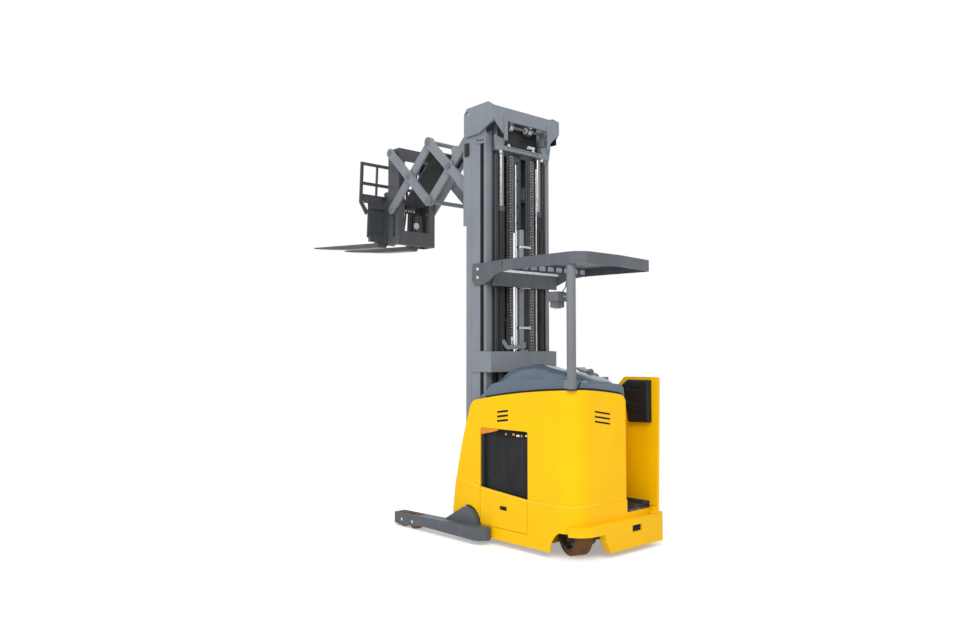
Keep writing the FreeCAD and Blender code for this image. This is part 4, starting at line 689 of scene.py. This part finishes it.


# crown: the strip with three holes darkened as painted shade, painted shade behind the cheeks and the
# brackets on the rails
crownSpec = {
    "strip": ((1.11, 3.306), (1.232, 3.322), (1.232, 3.378), (1.11, 3.362)), "stripThick": 0.007,
    "holes": ((1.138, 3.338), (1.171, 3.3423), (1.204, 3.3466)), "hole": 0.0095,
    "shade": ((1.01, 3.4), (1.13, 3.4), (1.13, 3.52), (1.01, 3.52)), "shadeThick": -0.004}
slabs("crownStrip", "greyEnamel", crownSpec["strip"], 0.3862, crownSpec["stripThick"])
slabs("crownPaintedShade", "darkPartsAndPaintedShade", crownSpec["shade"], 0.385, crownSpec["shadeThick"], 0.0)
drums(
    "stripHoleShade", "darkPartsAndPaintedShade", [((x, 0.393, z), (x, 0.3936, z)) for x, z in crownSpec["holes"]],
    crownSpec["hole"], 24, mirrored=True)
plates("railBrackets", "blackEnamel", edge=0.003, mirrored=[((1.32, 1.372), (0.386, 0.4), (3.232, 3.345))])

# welds: rows of small overlapping beads along the joints, as start, end and bead size
weldSpec = (
    ((1.06, 0.3865, 1.376), (1.265, 0.3865, 1.376), 0.003),
    ((1.06, 0.3865, 1.548), (1.265, 0.3865, 1.548), 0.003),
    ((1.2895, 0.3862, 0.3), (1.2895, 0.3862, 1.37), 0.0022),
    ((1.2895, 0.3862, 1.55), (1.2895, 0.3862, 3.3), 0.0022),
    ((1.2, 0.3865, 3.397), (1.34, 0.3865, 3.393), 0.003), ((1.018, 0.38, 3.5), (1.018, 0.38, 3.61), 0.003))


@riding("greyEnamel")
def mastWelds(bm):
    for side in (-1, 1):
        for startSpot, endSpot, size in weldSpec:
            start, end = (at(x, side * y, z) for x, y, z in (startSpot, endSpot))
            count = max(2, int((end - start).length / (size * 1.1)))
            for number in range(count + 1):
                spot = start + (end - start) * number / count
                bmesh.ops.create_icosphere(bm, subdivisions=1, radius=size, matrix=Matrix.Translation(spot))


# clamps on the riser
clampSpec = {"x": 1.085, "heights": (1.75, 2.1, 2.45), "ring": (0.0305, 0.0335), "half": 0.01,
             "lug": ((1.05, 1.057), (-0.092, 0.01))}


@riding("steelBright")
def riserClamps(bm):
    half = clampSpec["half"]
    for z in clampSpec["heights"]:
        ringAt(bm, at(clampSpec["x"], 0, z), (0, 0, 1), *clampSpec["ring"], -half, half)
        plate(bm, *clampSpec["lug"], (z - half, z + half), 0.0015)


print("carriage, crown and riser fittings built")


# top line of the body, used by the painted shade along the hoods' foot
def arcThrough(a, b, c):
    # height along the circle through three (place, height) points
    ax, ay, bx, by, cx, cy = *a, *b, *c
    twice = 2 * (ax * (by - cy) + bx * (cy - ay) + cx * (ay - by))
    ux = ((ax**2 + ay**2) * (by - cy) + (bx**2 + by**2) * (cy - ay) + (cx**2 + cy**2) * (ay - by)) / twice
    uy = ((ax**2 + ay**2) * (cx - bx) + (bx**2 + by**2) * (ax - cx) + (cx**2 + cy**2) * (bx - ax)) / twice
    radius = math.hypot(ax - ux, ay - uy)
    return lambda place: uy + math.copysign(math.sqrt(max(radius**2 - (place - ux)**2, 0.0)), b[1] - uy)


topSpec = {
    "along": ((0.0, 1.264), (0.64, 1.222), (1.14, 1.15)), "bay": -0.07, "rear": 0.462,
    "across": ((0.492, 1.268), (0.05, 1.233), (-0.07, 1.216)),
    "edge": ((-0.07, 1.216), (-0.12, 1.186), (-0.14, 1.132))}
alongTop, acrossTop, acrossEdge = (arcThrough(*topSpec[line]) for line in ("along", "across", "edge"))


def bodyTop(x, y):
    across = acrossTop(y) if y > topSpec["bay"] else acrossEdge(y)
    return min(alongTop(x), across) if x < topSpec["rear"] else alongTop(x)


# painted shade: dark plates in the latch recess and in the gate's seam at the hinges
plates("latchRecessShade", "darkPartsAndPaintedShade", mirrored=[
    ((0.7775, 0.8545), (0.4652, 0.4664), (0.2895, 0.3185)),
    ((1.0925, 1.0985), (0.4672, 0.469), (0.267, 0.293), 0.0005),
    ((1.0925, 1.0985), (0.4672, 0.469), (0.3, 0.326), 0.0005)])

# battery: lid frame, cell caps, cables and their plugs
batterySpec = {
    "top": 0.92, "x": (0.566, 1.046), "y": 0.438, "frame": 0.03, "rows": 4, "caps": 12, "rowStep": 0.105,
    "capStep": 0.0655, "firstCap": (0.075, -0.36), "firstLink": (0.128, -0.328), "lid": 0.008, "cap": 0.016,
    "capHigh": 0.014, "link": (0.03, 0.008, 0.009),
    "cables": ([(0.7, 0.405, 0.945), (0.76, 0.395, 0.965), (0.85, 0.3, 0.96), (0.9, 0.1, 0.95)],
               [(0.64, 0.372, 0.95), (0.68, 0.31, 0.985), (0.8, 0.2, 0.97), (0.88, -0.05, 0.952)])}


def cellSpots(first, rows, count):
    for row in range(rows):
        for number in range(count):
            yield at(batterySpec["x"][0] + first[0] + row * batterySpec["rowStep"],
                     first[1] + number * batterySpec["capStep"], batterySpec["top"])


@riding("batteryCase")
def batteryLid(bm):
    (rear, front), y, wide = batterySpec["x"], batterySpec["y"], batterySpec["frame"]
    tall = (batterySpec["top"], batterySpec["top"] + batterySpec["lid"])
    for along in ((rear, rear + wide), (front - wide, front)):
        plate(bm, along, (-y, y), tall, 0.002)
    for across in ((-y, -y + wide), (y - wide, y)):
        plate(bm, (rear, front), across, tall, 0.002)
    for spot in cellSpots(batterySpec["firstCap"], batterySpec["rows"], batterySpec["caps"]):
        drum(bm, spot, spot + Vector((0, 0, batterySpec["capHigh"])), batterySpec["cap"], sides=20,
             edge=0.003)


@riding("steelBright")
def batteryLinks(bm):
    x, y, z = batterySpec["link"]
    for spot in cellSpots(batterySpec["firstLink"], batterySpec["rows"] - 1, batterySpec["caps"] - 1):
        block(bm, spot - Vector((x, y, 0)), spot + Vector((x, y, z)), 0.002)


plates("plugHousings", "orangePlugsAndShade", edge=0.004, single=[
    ((0.6, 0.655), (0.37, 0.432), (0.9285, 0.966)), ((0.82, 0.85), (0.385, 0.43), (0.9285, 0.95))])
plates("plugTips", "zincWhite", edge=0.004, single=[
    ((0.664, 0.702), (0.385, 0.43), (0.9285, 0.956)), ((0.572, 0.59), (0.395, 0.43), (0.9285, 0.952))])
hoses("batteryCables", "redPaint", [[at(*spot) for spot in route] for route in batterySpec["cables"]], 0.01)

# operator's console: control handle, keys and screen
consoleSpec = {
    "grip": (0.262, 0.046, 1.372), "gripAxis": (0.1, 0.55, 1),
    "gripProfile": [(0.0, 0.0), (0.026, 0.0), (0.03, 0.01), (0.028, 0.026), (0.018, 0.036), (0.0, 0.038)],
    "screen": ((0.335, -0.06, 1.395), (0.425, 0.06, 1.405)), "tilt": -24}


@riding("lampPlastic")
def handleGrip(bm):
    spun(bm, at(*consoleSpec["grip"]), consoleSpec["gripAxis"], consoleSpec["gripProfile"], sides=28)


@riding("screenGlass")
def consoleScreen(bm):
    lowCorner, highCorner = consoleSpec["screen"]
    turn = Matrix.Rotation(math.radians(consoleSpec["tilt"]), 4, "Y")
    block(bm, at(*lowCorner), at(*highCorner), 0.003, turn=turn)


drums(
    "consoleKeys", "redPaint",
    [((x, y, 1.3815), (x, y, 1.3865)) for x, y in ((0.248, 0.03), (0.264, 0.033), (0.28, 0.036))], 0.006,
    edge=0.0015)

# operator's floor: ribs, the turned-up edge by the panel and the dead-man pedal
matSpec = {"first": -0.429, "step": 0.02275, "ribs": 13, "half": 0.004}
pedalSpec = {"first": 0.315, "step": 0.022, "ribs": 5, "wide": 0.008}
plates("matRibs", "matRubber", edge=0.001, single=[
    ((0.078, 0.452), (y - matSpec["half"], y + matSpec["half"]), (0.314, 0.317))
    for y in stepped(matSpec["first"], matSpec["step"], matSpec["ribs"])])
plates("matEdge", "matRubber", [
    ((0.072, 0.458), (-0.4455, -0.4405), (0.3, 0.352), 0.002),
    ((0.0695, 0.0725), (-0.441, -0.144), (0.266, 0.316), 0.001)])
plates("floorPedal", "blackEnamel", edge=0.001, single=[
    ((0.3, 0.42), (-0.3, -0.19), (0.3172, 0.327), 0.004),
    *(((x, x + pedalSpec["wide"]), (-0.29, -0.2), (0.326, 0.3295))
      for x in stepped(pedalSpec["first"], pedalSpec["step"], pedalSpec["ribs"]))])

# lamp: lens with its ribs, cooling fins, bolts and the cable down the post
lampSpec = {
    "x": 0.279, "y": 0.415, "low": 1.88, "lens": 0.033, "lensDeep": 0.005,
    "ribs": (0.391, 0.012, 5), "ribReach": 0.03, "ribHalf": 0.002, "ribHigh": (-0.008, -0.0045),
    "fins": (0.238, 0.0145, 7), "bolts": ((0.185, 0.4195, 1.96), (0.205, 0.4195, 1.96)), "bolt": 0.007,
    "cable": [(0.228, 0.425, 1.985), (0.2, 0.425, 2.01), (0.174, 0.425, 2.05), (0.168, 0.425, 2.18)]}


@riding("lampGlass")
def lampLens(bm):
    x, low = lampSpec["x"], lampSpec["low"]
    centre = at(x, lampSpec["y"], low)
    drum(bm, centre - Vector((0, 0, lampSpec["lensDeep"])), centre, lampSpec["lens"], sides=36, edge=0.003)
    half = lampSpec["ribHalf"]
    for y in stepped(*lampSpec["ribs"]):
        reach = math.sqrt(lampSpec["ribReach"]**2 - (y - lampSpec["y"])**2)
        plate(bm, (x - reach, x + reach), (y - half, y + half), span(low, lampSpec["ribHigh"]), 0.001)


@riding("steelBright")
def lampBolts(bm):
    for spot in lampSpec["bolts"]:
        hexBolt(bm, at(*spot), (0, 1, 0), lampSpec["bolt"])


plates("lampFins", "lampPlastic", edge=0.001, single=[
    ((x, x + 0.006), (0.372, 0.459), (1.9945, 2.001)) for x in stepped(*lampSpec["fins"])])
hoses("lampCable", "hoseRubber", [[at(*spot) for spot in lampSpec["cable"]]], 0.004)
print("body, console and lamp built")

# drive wheel and caster: hub bolts and caps
driveSpec = {"centre": (0.272, 0.231, 0.165), "steer": -20.0, "bolts": 7, "circle": 0.079, "face": 0.032,
             "bolt": 0.012, "cap": 0.034, "capFaces": (0.052, 0.059)}
casterSpec = {
    "x": 0.19, "y": -0.3, "face": 0.0742, "high": 0.089, "cap": 0.034, "plate": (0.235, -0.3, 0.2708),
    "bolts": 6, "circle": 0.052}


@riding("steelBright", "drive_wheel")
def driveHubBolts(bm):
    centre = at(*driveSpec["centre"])
    for number in range(driveSpec["bolts"]):
        turn = math.tau * number / driveSpec["bolts"]
        spot = centre + Vector((driveSpec["circle"] * math.cos(turn), driveSpec["face"],
                                driveSpec["circle"] * math.sin(turn)))
        hexBolt(bm, spot, (0, 1, 0), driveSpec["bolt"])
    ends = [centre + Vector((0, out, 0)) for out in driveSpec["capFaces"]]
    drum(bm, *ends, driveSpec["cap"], edge=0.003)
    bmesh.ops.transform(bm, matrix=turnedAbout(centre, driveSpec["steer"], "Z"), verts=bm.verts)


@riding("steelBright", "caster_wheel_pair")
def casterCaps(bm):
    for side in (-1, 1):
        face = at(casterSpec["x"], casterSpec["y"] + side * casterSpec["face"], casterSpec["high"])
        top = face + Vector((0, side * 0.0025, 0))
        drum(bm, face, top, casterSpec["cap"], sides=36, edge=0.001)
        hexBolt(bm, top, (0, side, 0), 0.012, washer=False)


@riding("steelBright", "caster")
def casterBolts(bm):
    for number in range(casterSpec["bolts"]):
        turn = math.tau * number / casterSpec["bolts"]
        around = Vector((math.cos(turn), math.sin(turn), 0)) * casterSpec["circle"]
        hexBolt(bm, at(*casterSpec["plate"]) + around, (0, 0, -1), 0.008)


# load wheels: bearing rings, and the axle ends on the legs
loadSpec = {
    "x": (1.978, 1.828), "y": 0.5425, "z": 0.0635, "face": 0.04,
    "axles": ((0.5995, 0.6003), (0.4855, 0.4847)), "axle": 0.0135,
    "ring": [(0.0115, 0.0), (0.0115, 0.0016), (0.03, 0.0016), (0.032, 0.0)]}


def wheelRings(x, side):
    def build(bm):
        for face in (-1, 1):
            spun(bm, at(x, side * loadSpec["y"] + face * loadSpec["face"], loadSpec["z"]), (0, face, 0),
                 loadSpec["ring"], closed=True)
    return build


for sideName, side in (("l", 1), ("r", -1)):
    for endName, x in zip("fr", loadSpec["x"]):
        wheel = sideName + endName
        piece("wheelRings" + wheel.capitalize(), "load_wheel_" + wheel, "castBlack", wheelRings(x, side))


drums(
    "legDetails", "steelBright",
    [((x, face, loadSpec["z"]), (x, end, loadSpec["z"]))
     for x in loadSpec["x"] for face, end in loadSpec["axles"]],
    loadSpec["axle"], 28, mirrored=True)

# overhead guard: bolts on its arms, rubber foot of the post and a near-white strip on the lip of the header
# as a painted highlight
guardSpec = {
    "arm": 0.4005, "bolts": ((1.196, 2.242), (1.196, 2.171)), "bolt": 0.013, "post": (0.13, 0.425, 1.258),
    "foot": (0.0352, 0.0415, 0.0, 0.012)}


@riding("zincWhite")
def guardBolts(bm):
    for side in (-1, 1):
        for x, z in guardSpec["bolts"]:
            hexBolt(bm, at(x, side * guardSpec["arm"], z), (0, side, 0), guardSpec["bolt"])


@riding("hoseRubber")
def postFoot(bm):
    ringAt(bm, at(*guardSpec["post"]), (0, 0, 1), *guardSpec["foot"])


# painted highlight: the header's upper face, lit from above
plates("headerHighlightStrip", "zincWhite", [((1.0105, 1.0138), (-0.405, 0.405), (2.214, 2.262))], edge=0.0008)

# bumper: painted shade in its recess as a dark plate, and the rounded gusset by the panel
plates("bumperRecessShade", "darkPartsAndPaintedShade", [((0.0136, 0.0144), (-0.24, -0.127), (0.162, 0.21))])
gussetSpec = {
    "x": 0.008, "thick": 0.048, "corner": (-0.4455, 0.2625), "centre": (-0.387, 0.3215), "radius": 0.0585,
    "steps": 10}


@riding("yellowEnamel")
def panelGusset(bm):
    (y, z), radius = gussetSpec["centre"], gussetSpec["radius"]
    outline = [at(gussetSpec["x"], *gussetSpec["corner"])]
    for step in range(gussetSpec["steps"] + 1):
        turn = math.radians(90 * step / gussetSpec["steps"])
        outline.append(at(gussetSpec["x"], y - radius * math.sin(turn), z - radius * math.cos(turn)))
    slab(bm, outline, Vector((gussetSpec["thick"], 0, 0)), 0.001)


# back pad, swollen as cloth round its foam, with three pressed channels
padSpec = {
    "front": -0.4045, "back": -0.4452, "limit": -0.4457, "voxel": 0.005, "pressure": 4.0, "cap": 0.0065,
    "channels": (1.258, 1.157, 1.059), "x": (0.114, 0.254), "tall": 0.03, "deep": 0.0065, "steps": 20,
    "face": -0.414, "fade": 0.006, "lowFade": 0.012,
    "outline": [(0.038, 0.979), (0.049, 0.972), (0.244, 0.964), (0.262, 0.981), (0.324, 1.276),
                (0.267, 1.319), (0.255, 1.323), (0.046, 1.324), (0.038, 1.316)]}
bm = bmesh.new()
slab(bm, [at(x, padSpec["back"], z) for x, z in padSpec["outline"]],
     Vector((0, padSpec["front"] - padSpec["back"], 0)), 0.0)
ahead = [line for line in bm.edges if all(vert.co.y > padSpec["front"] - 0.001 for vert in line.verts)]
bevelled(bm, ahead, 0.012, 3)
bmesh.ops.recalc_face_normals(bm, faces=bm.faces)
padMesh = bpy.data.meshes.new("backPadCover")
bm.to_mesh(padMesh)
bm.free()
padCover = keep("backPadCover", padMesh, "chassis", "padVinyl")
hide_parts("back_pad")


def baked(thing):
    mesh = bpy.data.meshes.new_from_object(thing.evaluated_get(bpy.context.evaluated_depsgraph_get()))
    thing.modifiers.clear()
    thing.data = mesh


remesh = padCover.modifiers.new("remesh", "REMESH")
remesh.mode = "VOXEL"
remesh.voxel_size = padSpec["voxel"]
bpy.context.view_layer.update()
baked(padCover)
restSpots = [vert.co.copy() for vert in padCover.data.vertices]
cloth = padCover.modifiers.new("cloth", "CLOTH")
cloth.settings.use_pressure = True
cloth.settings.uniform_pressure_force = padSpec["pressure"]
cloth.settings.effector_weights.gravity = 0.0
cloth.settings.quality = 5
for number in range(1, padSpec["steps"] + 1):
    bpy.context.scene.frame_set(number)
baked(padCover)
bpy.context.scene.frame_set(1)
for vert, spot in zip(padCover.data.vertices, restSpots):
    moved = vert.co - spot
    if moved.length > padSpec["cap"]:
        moved *= padSpec["cap"] / moved.length
    vert.co = spot + moved
    vert.co.y = max(vert.co.y, padSpec["limit"])


def softStep(value):
    value = min(max(value, 0.0), 1.0)
    return value * value * (3 - 2 * value)


finer = padCover.modifiers.new("finer", "SUBSURF")
finer.levels = finer.render_levels = 1
baked(padCover)
fade = padSpec["fade"]
for vert in padCover.data.vertices:
    if vert.co.y > padSpec["face"]:  # the face that swells towards the bay
        x, z = vert.co.x - tail, vert.co.z
        across = min(softStep((x - padSpec["x"][0]) / fade), softStep((padSpec["x"][1] - x) / fade))
        for top in padSpec["channels"]:
            sunk = min(softStep((top - z) / fade), softStep((z - top + padSpec["tall"]) / padSpec["lowFade"]))
            vert.co.y -= padSpec["deep"] * across * sunk
padCover.data.materials.clear()
padCover.data.materials.append(finishes["padVinyl"])
padCover.data.shade_smooth()
# painted shade: a dark disc in the small hole of the pad
drums("padHoleShade", "darkPartsAndPaintedShade", [((0.079, -0.4035, 1.102), (0.079, -0.399, 1.102))], 0.006, 24, 0.001)
print("wheels, guard, bumper and pad built")


# points on the yellow body and on the hood, found by shooting rays at their CAD surfaces
def skinOf(names):
    points, faces = [], []
    for name in names:
        mesh = nodes[name].data
        start = len(points)
        points += [nodes[name].matrix_world @ vert.co for vert in mesh.vertices]
        faces += [[start + index for index in face.vertices] for face in mesh.polygons]
    return BVHTree.FromPolygons(points, faces)


yellowSkin = skinOf([name for name in nodes if slots[name] == "truck_yellow"])
hoodSkin = skinOf(["lower_hood", "upper_hood"])


def hit(skin, x, y, z, away, out=0.0):
    away = Vector(away).normalized()
    spot = skin.ray_cast(at(x, y, z) + away * 0.6, -away)[0]
    return spot + away * out if spot else None


def routeOn(skin, spots, away, out=0.0):
    return [spot for spot in (hit(skin, *place, away, out) for place in spots) if spot]


cornerSpec = {"centre": 0.25, "steps": 12}


def roundCorner(height, out, rise=0.0):
    # points round the body's rear left corner
    centre, steps = cornerSpec["centre"], cornerSpec["steps"]
    for step in range(1, steps):
        turn = math.radians(90 * step / steps)
        spot = hit(yellowSkin, centre, centre, height + rise * step / steps,
                   (-math.sin(turn), math.cos(turn), 0), out)
        if spot:
            yield spot


# raised bead round the body at the height of the gate's top edge, coloured lighter than the enamel as a
# painted highlight
beadSpec = {
    "radius": 0.003, "out": 0.0004, "front": (1.374, -0.0274, 0.488, -0.005),
    "gate": (1.084, -0.053, 0.427, -0.0029), "points": 11, "left": (0.54, -0.03, 10),
    "rear": (0.23, -0.024, 5), "low": 0.398, "high": 0.402}
out = beadSpec["out"]
beadRoutes = []
for side in (1, -1):
    for x, run, z, rise in (beadSpec["front"], beadSpec["gate"]):
        spots = [(x + run * step, 0, z + rise * step) for step in range(beadSpec["points"])]
        beadRoutes.append(routeOn(yellowSkin, spots, (0, side, 0), out))
rearBead = routeOn(yellowSkin, [(x, 0, beadSpec["low"]) for x in stepped(*beadSpec["left"])], (0, 1, 0), out)
rearBead += roundCorner(beadSpec["low"], out, beadSpec["high"] - beadSpec["low"])
rearBead += routeOn(yellowSkin, [(0, y, beadSpec["high"]) for y in stepped(*beadSpec["rear"])], (-1, 0, 0),
                    out)
beadRoutes.append(rearBead)
hoses("bodyHighlightBeads", "paintedHighlightYellow", beadRoutes, beadSpec["radius"], rings=3)

# painted shade: dark plates just over the slots of the vents
ventSpec = {
    "rows": 3, "sideZ": 0.98, "sideStep": 0.036, "sideY": 0.466, "rearZ": 1.016, "rearStep": 0.037,
    "sideSlot": ((0.764, 0.0165), (0.888, 0.0), (0.888, 0.017), (0.764, 0.0335)), "thick": 0.0014,
    "rearSlot": ((0.059, -0.0275), (0.238, 0.0005), (0.238, 0.0145), (0.059, -0.0135))}


@riding("darkPartsAndPaintedShade")
def ventSlotShade(bm):
    flat = hit(yellowSkin, 0, 0.15, 1.128, (-1, 0, 0)).x - tail - 0.0004
    for row in range(ventSpec["rows"]):
        foot = ventSpec["sideZ"] + row * ventSpec["sideStep"]
        sideSlabs(bm, [(x, foot + up) for x, up in ventSpec["sideSlot"]], ventSpec["sideY"],
                  ventSpec["thick"], 0.0005)
        foot = ventSpec["rearZ"] + row * ventSpec["rearStep"]
        slab(bm, [at(flat, y, foot + up) for y, up in ventSpec["rearSlot"]],
             Vector((ventSpec["thick"], 0, 0)), 0.0005)


# painted shade in the gap along the top of the body: a black tube sunk a little behind its skin
gapShadeSpec = {
    "radius": 0.0085, "in": -0.007, "up": 0.0065, "below": 0.012, "sideY": 0.445, "rearX": 0.07,
    "cornerZ": 1.2, "left": (1.02, -0.047, 18), "right": (1.02, -0.047, 12), "rear": (0.24, -0.026, 14)}


def gapShadeAlong(spots, away):
    # points under the body's top line, given where it is looked up and where the ray starts
    for (x, y), start in spots:
        top = bodyTop(x, y)
        edge = hit(yellowSkin, *start, top - gapShadeSpec["below"], away, gapShadeSpec["in"])
        if edge:
            edge.z = top + gapShadeSpec["up"]
            yield edge


sideY = gapShadeSpec["sideY"]
leftGapShade, rightGapShade = (
    [*gapShadeAlong([((x, side * sideY), (x, 0)) for x in stepped(*gapShadeSpec[name])], (0, side, 0))]
    for name, side in (("left", 1), ("right", -1)))
for spot in roundCorner(gapShadeSpec["cornerZ"], gapShadeSpec["in"]):
    if spot.y > cornerSpec["centre"]:
        spot.z = bodyTop(spot.x - tail, spot.y) + gapShadeSpec["up"]
        leftGapShade.append(spot)
leftGapShade += gapShadeAlong([((gapShadeSpec["rearX"], y), (0, y)) for y in stepped(*gapShadeSpec["rear"])], (-1, 0, 0))
hoses("hoodGapShade", "darkPartsAndPaintedShade", [leftGapShade, rightGapShade], gapShadeSpec["radius"], rings=2)

# painted shade in the splits of the hood beside the foot of the post, and dark lines along its facet creases
# as painted shade: ends, direction and steps
splitSpec = {
    "radius": 0.0055, "in": -0.0005,
    "routes": (((0.168, 0.4, 1.262), (0.158, 0.4, 1.335), (-0.4, 1, 0), 6),
               ((0.1, 0.4, 1.26), (0.066, 0.4, 1.335), (-0.7, 1, 0), 6))}
creaseShadeSpec = {
    "radius": 0.0018, "in": -0.0005,
    "routes": (((0.7, 0.36, 1.5), (0.47, 0.1, 1.5), (0, 0, 1), 14),
               ((0.3, 0.2, 1.5), (0.26, 0.36, 1.5), (0, 0, 1), 10))}


def linesOn(spec):
    routes = []
    for first, last, away, steps in spec["routes"]:
        spots = [Vector(first).lerp(Vector(last), step / steps) for step in range(steps + 1)]
        routes.append(routeOn(hoodSkin, spots, away, spec["in"]))
    return [route for route in routes if len(route) > 1]


# painted shade: dark tubes in the splits beside the post
hoses("hoodSplitShade", "darkPartsAndPaintedShade", linesOn(splitSpec), splitSpec["radius"], rings=2)
hoses("hoodCreaseShade", "darkPartsAndPaintedShade", linesOn(creaseShadeSpec), creaseShadeSpec["radius"], rings=2)

# battery space: flange ahead of the case, over it the well darkened as painted shade, plugs, and an orange
# ledge as painted shade on the yellow edge
plates("batteryFlange", "batteryCase", mirrored=[
    ((1.0474, 1.083), (0.4602, 0.4609), (0.43, 0.874)), ((1.0474, 1.0492), (0.438, 0.4605), (0.43, 0.874))])
plates("batteryWellShade", "darkPartsAndPaintedShade", mirrored=[
    ((0.556, 0.905), (0.45, 0.452), (0.872, 0.924)), ((0.81, 0.85), (0.4522, 0.456), (0.872, 0.898), 0.002),
    ((0.72, 0.77), (0.4522, 0.456), (0.872, 0.908), 0.002),
    ((0.57, 0.61), (0.4522, 0.456), (0.872, 0.902), 0.002)])
# painted shade: an orange strip on the inner edge of the window, standing for yellow paint in shade
slabs(
    "batteryLedgeShade", "orangePlugsAndShade",
    ((0.88, 0.924), (0.88, 0.914), (0.98, 0.89), (1.086, 0.872), (1.086, 0.924)), 0.46, 0.002, 0.0)
plates("wellPlugs", "orangePlugsAndShade", edge=0.002, mirrored=[
    ((x, x + wide), (0.453, 0.458), (z, z + 0.018))
    for x, z, wide in ((0.79, 0.88, 0.016), (0.7, 0.884, 0.022), (0.615, 0.878, 0.014))])
drums(
    "wellTips", "zincWhite",
    [((x, 0.4515, z), (x, 0.458, z)) for x, z in ((0.655, 0.886), (0.672, 0.886), (0.572, 0.892))], 0.0085,
    edge=0.001, mirrored=True)

# mast: dark strip down the channel of each outer rail as painted shade, guide plate hung from the middle tie
# bar, shield behind the sheaves
plates("railChannelShade", "darkPartsAndPaintedShade", mirrored=[((1.14, 1.178), (0.3855, 0.3868), (0.96, 3.36))])
plates("guidePlate", "slatePlate", [((1.098, 1.104), (-0.02, 0.069), (2.6, 3.258), 0.001)],
       body="middle_mast")
plates("sheaveShield", "blackEnamel", [((1.139, 1.143), (-0.262, 0.262), (3.304, 3.59), 0.001)],
       body="middle_mast")
plates("hoseGuard", "darkPartsAndPaintedShade", edge=0.001, body="inner_mast", single=[
    ((1.1596, 1.1626), (0.012, 0.255), (1.05, 3.28)), ((1.1596, 1.1626), (-0.275, -0.205), (1.05, 3.28))])
# painted light: a pale plate behind the guard's arched cross rib, for the lit surfaces seen through the
# arches
plates("archLightFill", "paintedLightPale", [((0.7305, 0.7325), (-0.44, 0.44), (2.204, 2.256))])
drums(
    "guideBolts", "darkPartsAndPaintedShade", [((1.098, 0.026, z), (1.094, 0.026, z)) for z in (2.66, 2.8, 3.03, 3.19)],
    0.01, edge=0.002, body="middle_mast")

# sheets on the two faces of the web between the front cross links: start and end along it, and half width
webSpec = {
    "start": (2.0297, 3.51), "end": (2.6294, 2.9508), "face": 0.0082, "thick": 0.0012,
    "sheets": ((0.084, 0.211, 0.2365), (0.214, 0.738, 0.15))}


@riding("blackEnamel", "front_cross")
def webSheets(bm):
    (startX, startZ), (endX, endZ) = webSpec["start"], webSpec["end"]
    start = Vector((startX, 0, startZ))
    run = Vector((endX - startX, 0, endZ - startZ)).normalized()
    for face in (-1, 1):
        out = Vector((run.z, 0, -run.x)) * face
        for first, last, half in webSpec["sheets"]:
            edges = [start + run * along + out * webSpec["face"] for along in (first, last)]
            slab(bm, [at(spot.x, y, spot.z) for spot, sign in zip(edges, (1, -1))
                      for y in (-half * sign, half * sign)], out * webSpec["thick"], 0.0)


print("beads, seams, battery well and mast trim built")

# light, floor and world: rays from the camera and gloss see white, and the light itself stays lower
lightSpec = {
    "world": 0.78, "key": 190.0, "keySize": 3.2, "fill": 60.0, "fillSize": 3.0, "floor": 0.86, "glow": 0.34,
    "floorSize": 60.0}


def seenDirectly(tree):
    path = addNode(tree, "LightPath")
    found = path.outputs["Is Camera Ray"]
    for name in ("Is Glossy Ray", "Is Transmission Ray"):
        found = addNode(tree, "Math", None, {0: found, 1: path.outputs[name]}, operation="MAXIMUM").outputs[0]
    return found


world = bpy.data.worlds.new("studio")
bpy.context.scene.world = world
world.use_nodes = True
tree = world.node_tree
strength = addNode(tree, "MapRange", {"To Min": lightSpec["world"], "To Max": 1.0},
                   {"Value": seenDirectly(tree)})
backdrop = tree.nodes["Background"]
backdrop.inputs["Color"].default_value = (1, 1, 1, 1)
tree.links.new(strength.outputs["Result"], backdrop.inputs["Strength"])


def lamp(name, spot, aim, size, power):
    data = bpy.data.lights.new(name, "AREA")
    data.shape = "DISK"
    data.size = size
    data.energy = power
    made = bpy.data.objects.new(name, data)
    made.location = spot
    made.rotation_euler = (aim - spot).to_track_quat("-Z", "Y").to_euler()
    collection.objects.link(made)


lamp("keyLamp", at(-3.2, 3.6, 5.4), at(1.0, 0.2, 1.4), lightSpec["keySize"], lightSpec["key"])
lamp("fillLamp", at(0.5, 6.5, 2.6), at(1.2, 0.0, 1.8), lightSpec["fillSize"], lightSpec["fill"])

floorMesh = bpy.data.meshes.new("floor")
bm = bmesh.new()
bmesh.ops.create_grid(bm, x_segments=1, y_segments=1, size=lightSpec["floorSize"])
bm.to_mesh(floorMesh)
bm.free()
floor = bpy.data.objects.new("floor", floorMesh)
collection.objects.link(floor)
floorMaterial = bpy.data.materials.new("paleFloor")
floorMaterial.use_nodes = True
tree = floorMaterial.node_tree
shader = tree.nodes["Principled BSDF"]
glow = addNode(tree, "Math", {1: lightSpec["glow"]}, {0: seenDirectly(tree)}, operation="MULTIPLY")
tree.links.new(glow.outputs[0], shader.inputs["Emission Strength"])
for socket, value in (("Emission Color", (1, 1, 1, 1)), ("Base Color", (*[lightSpec["floor"]] * 3, 1)),
                      ("Roughness", 0.9), ("Specular IOR Level", 0.0)):
    shader.inputs[socket].default_value = value
floorMesh.materials.append(floorMaterial)

bpy.context.scene.view_settings.view_transform = "Standard"
print("scene ready")
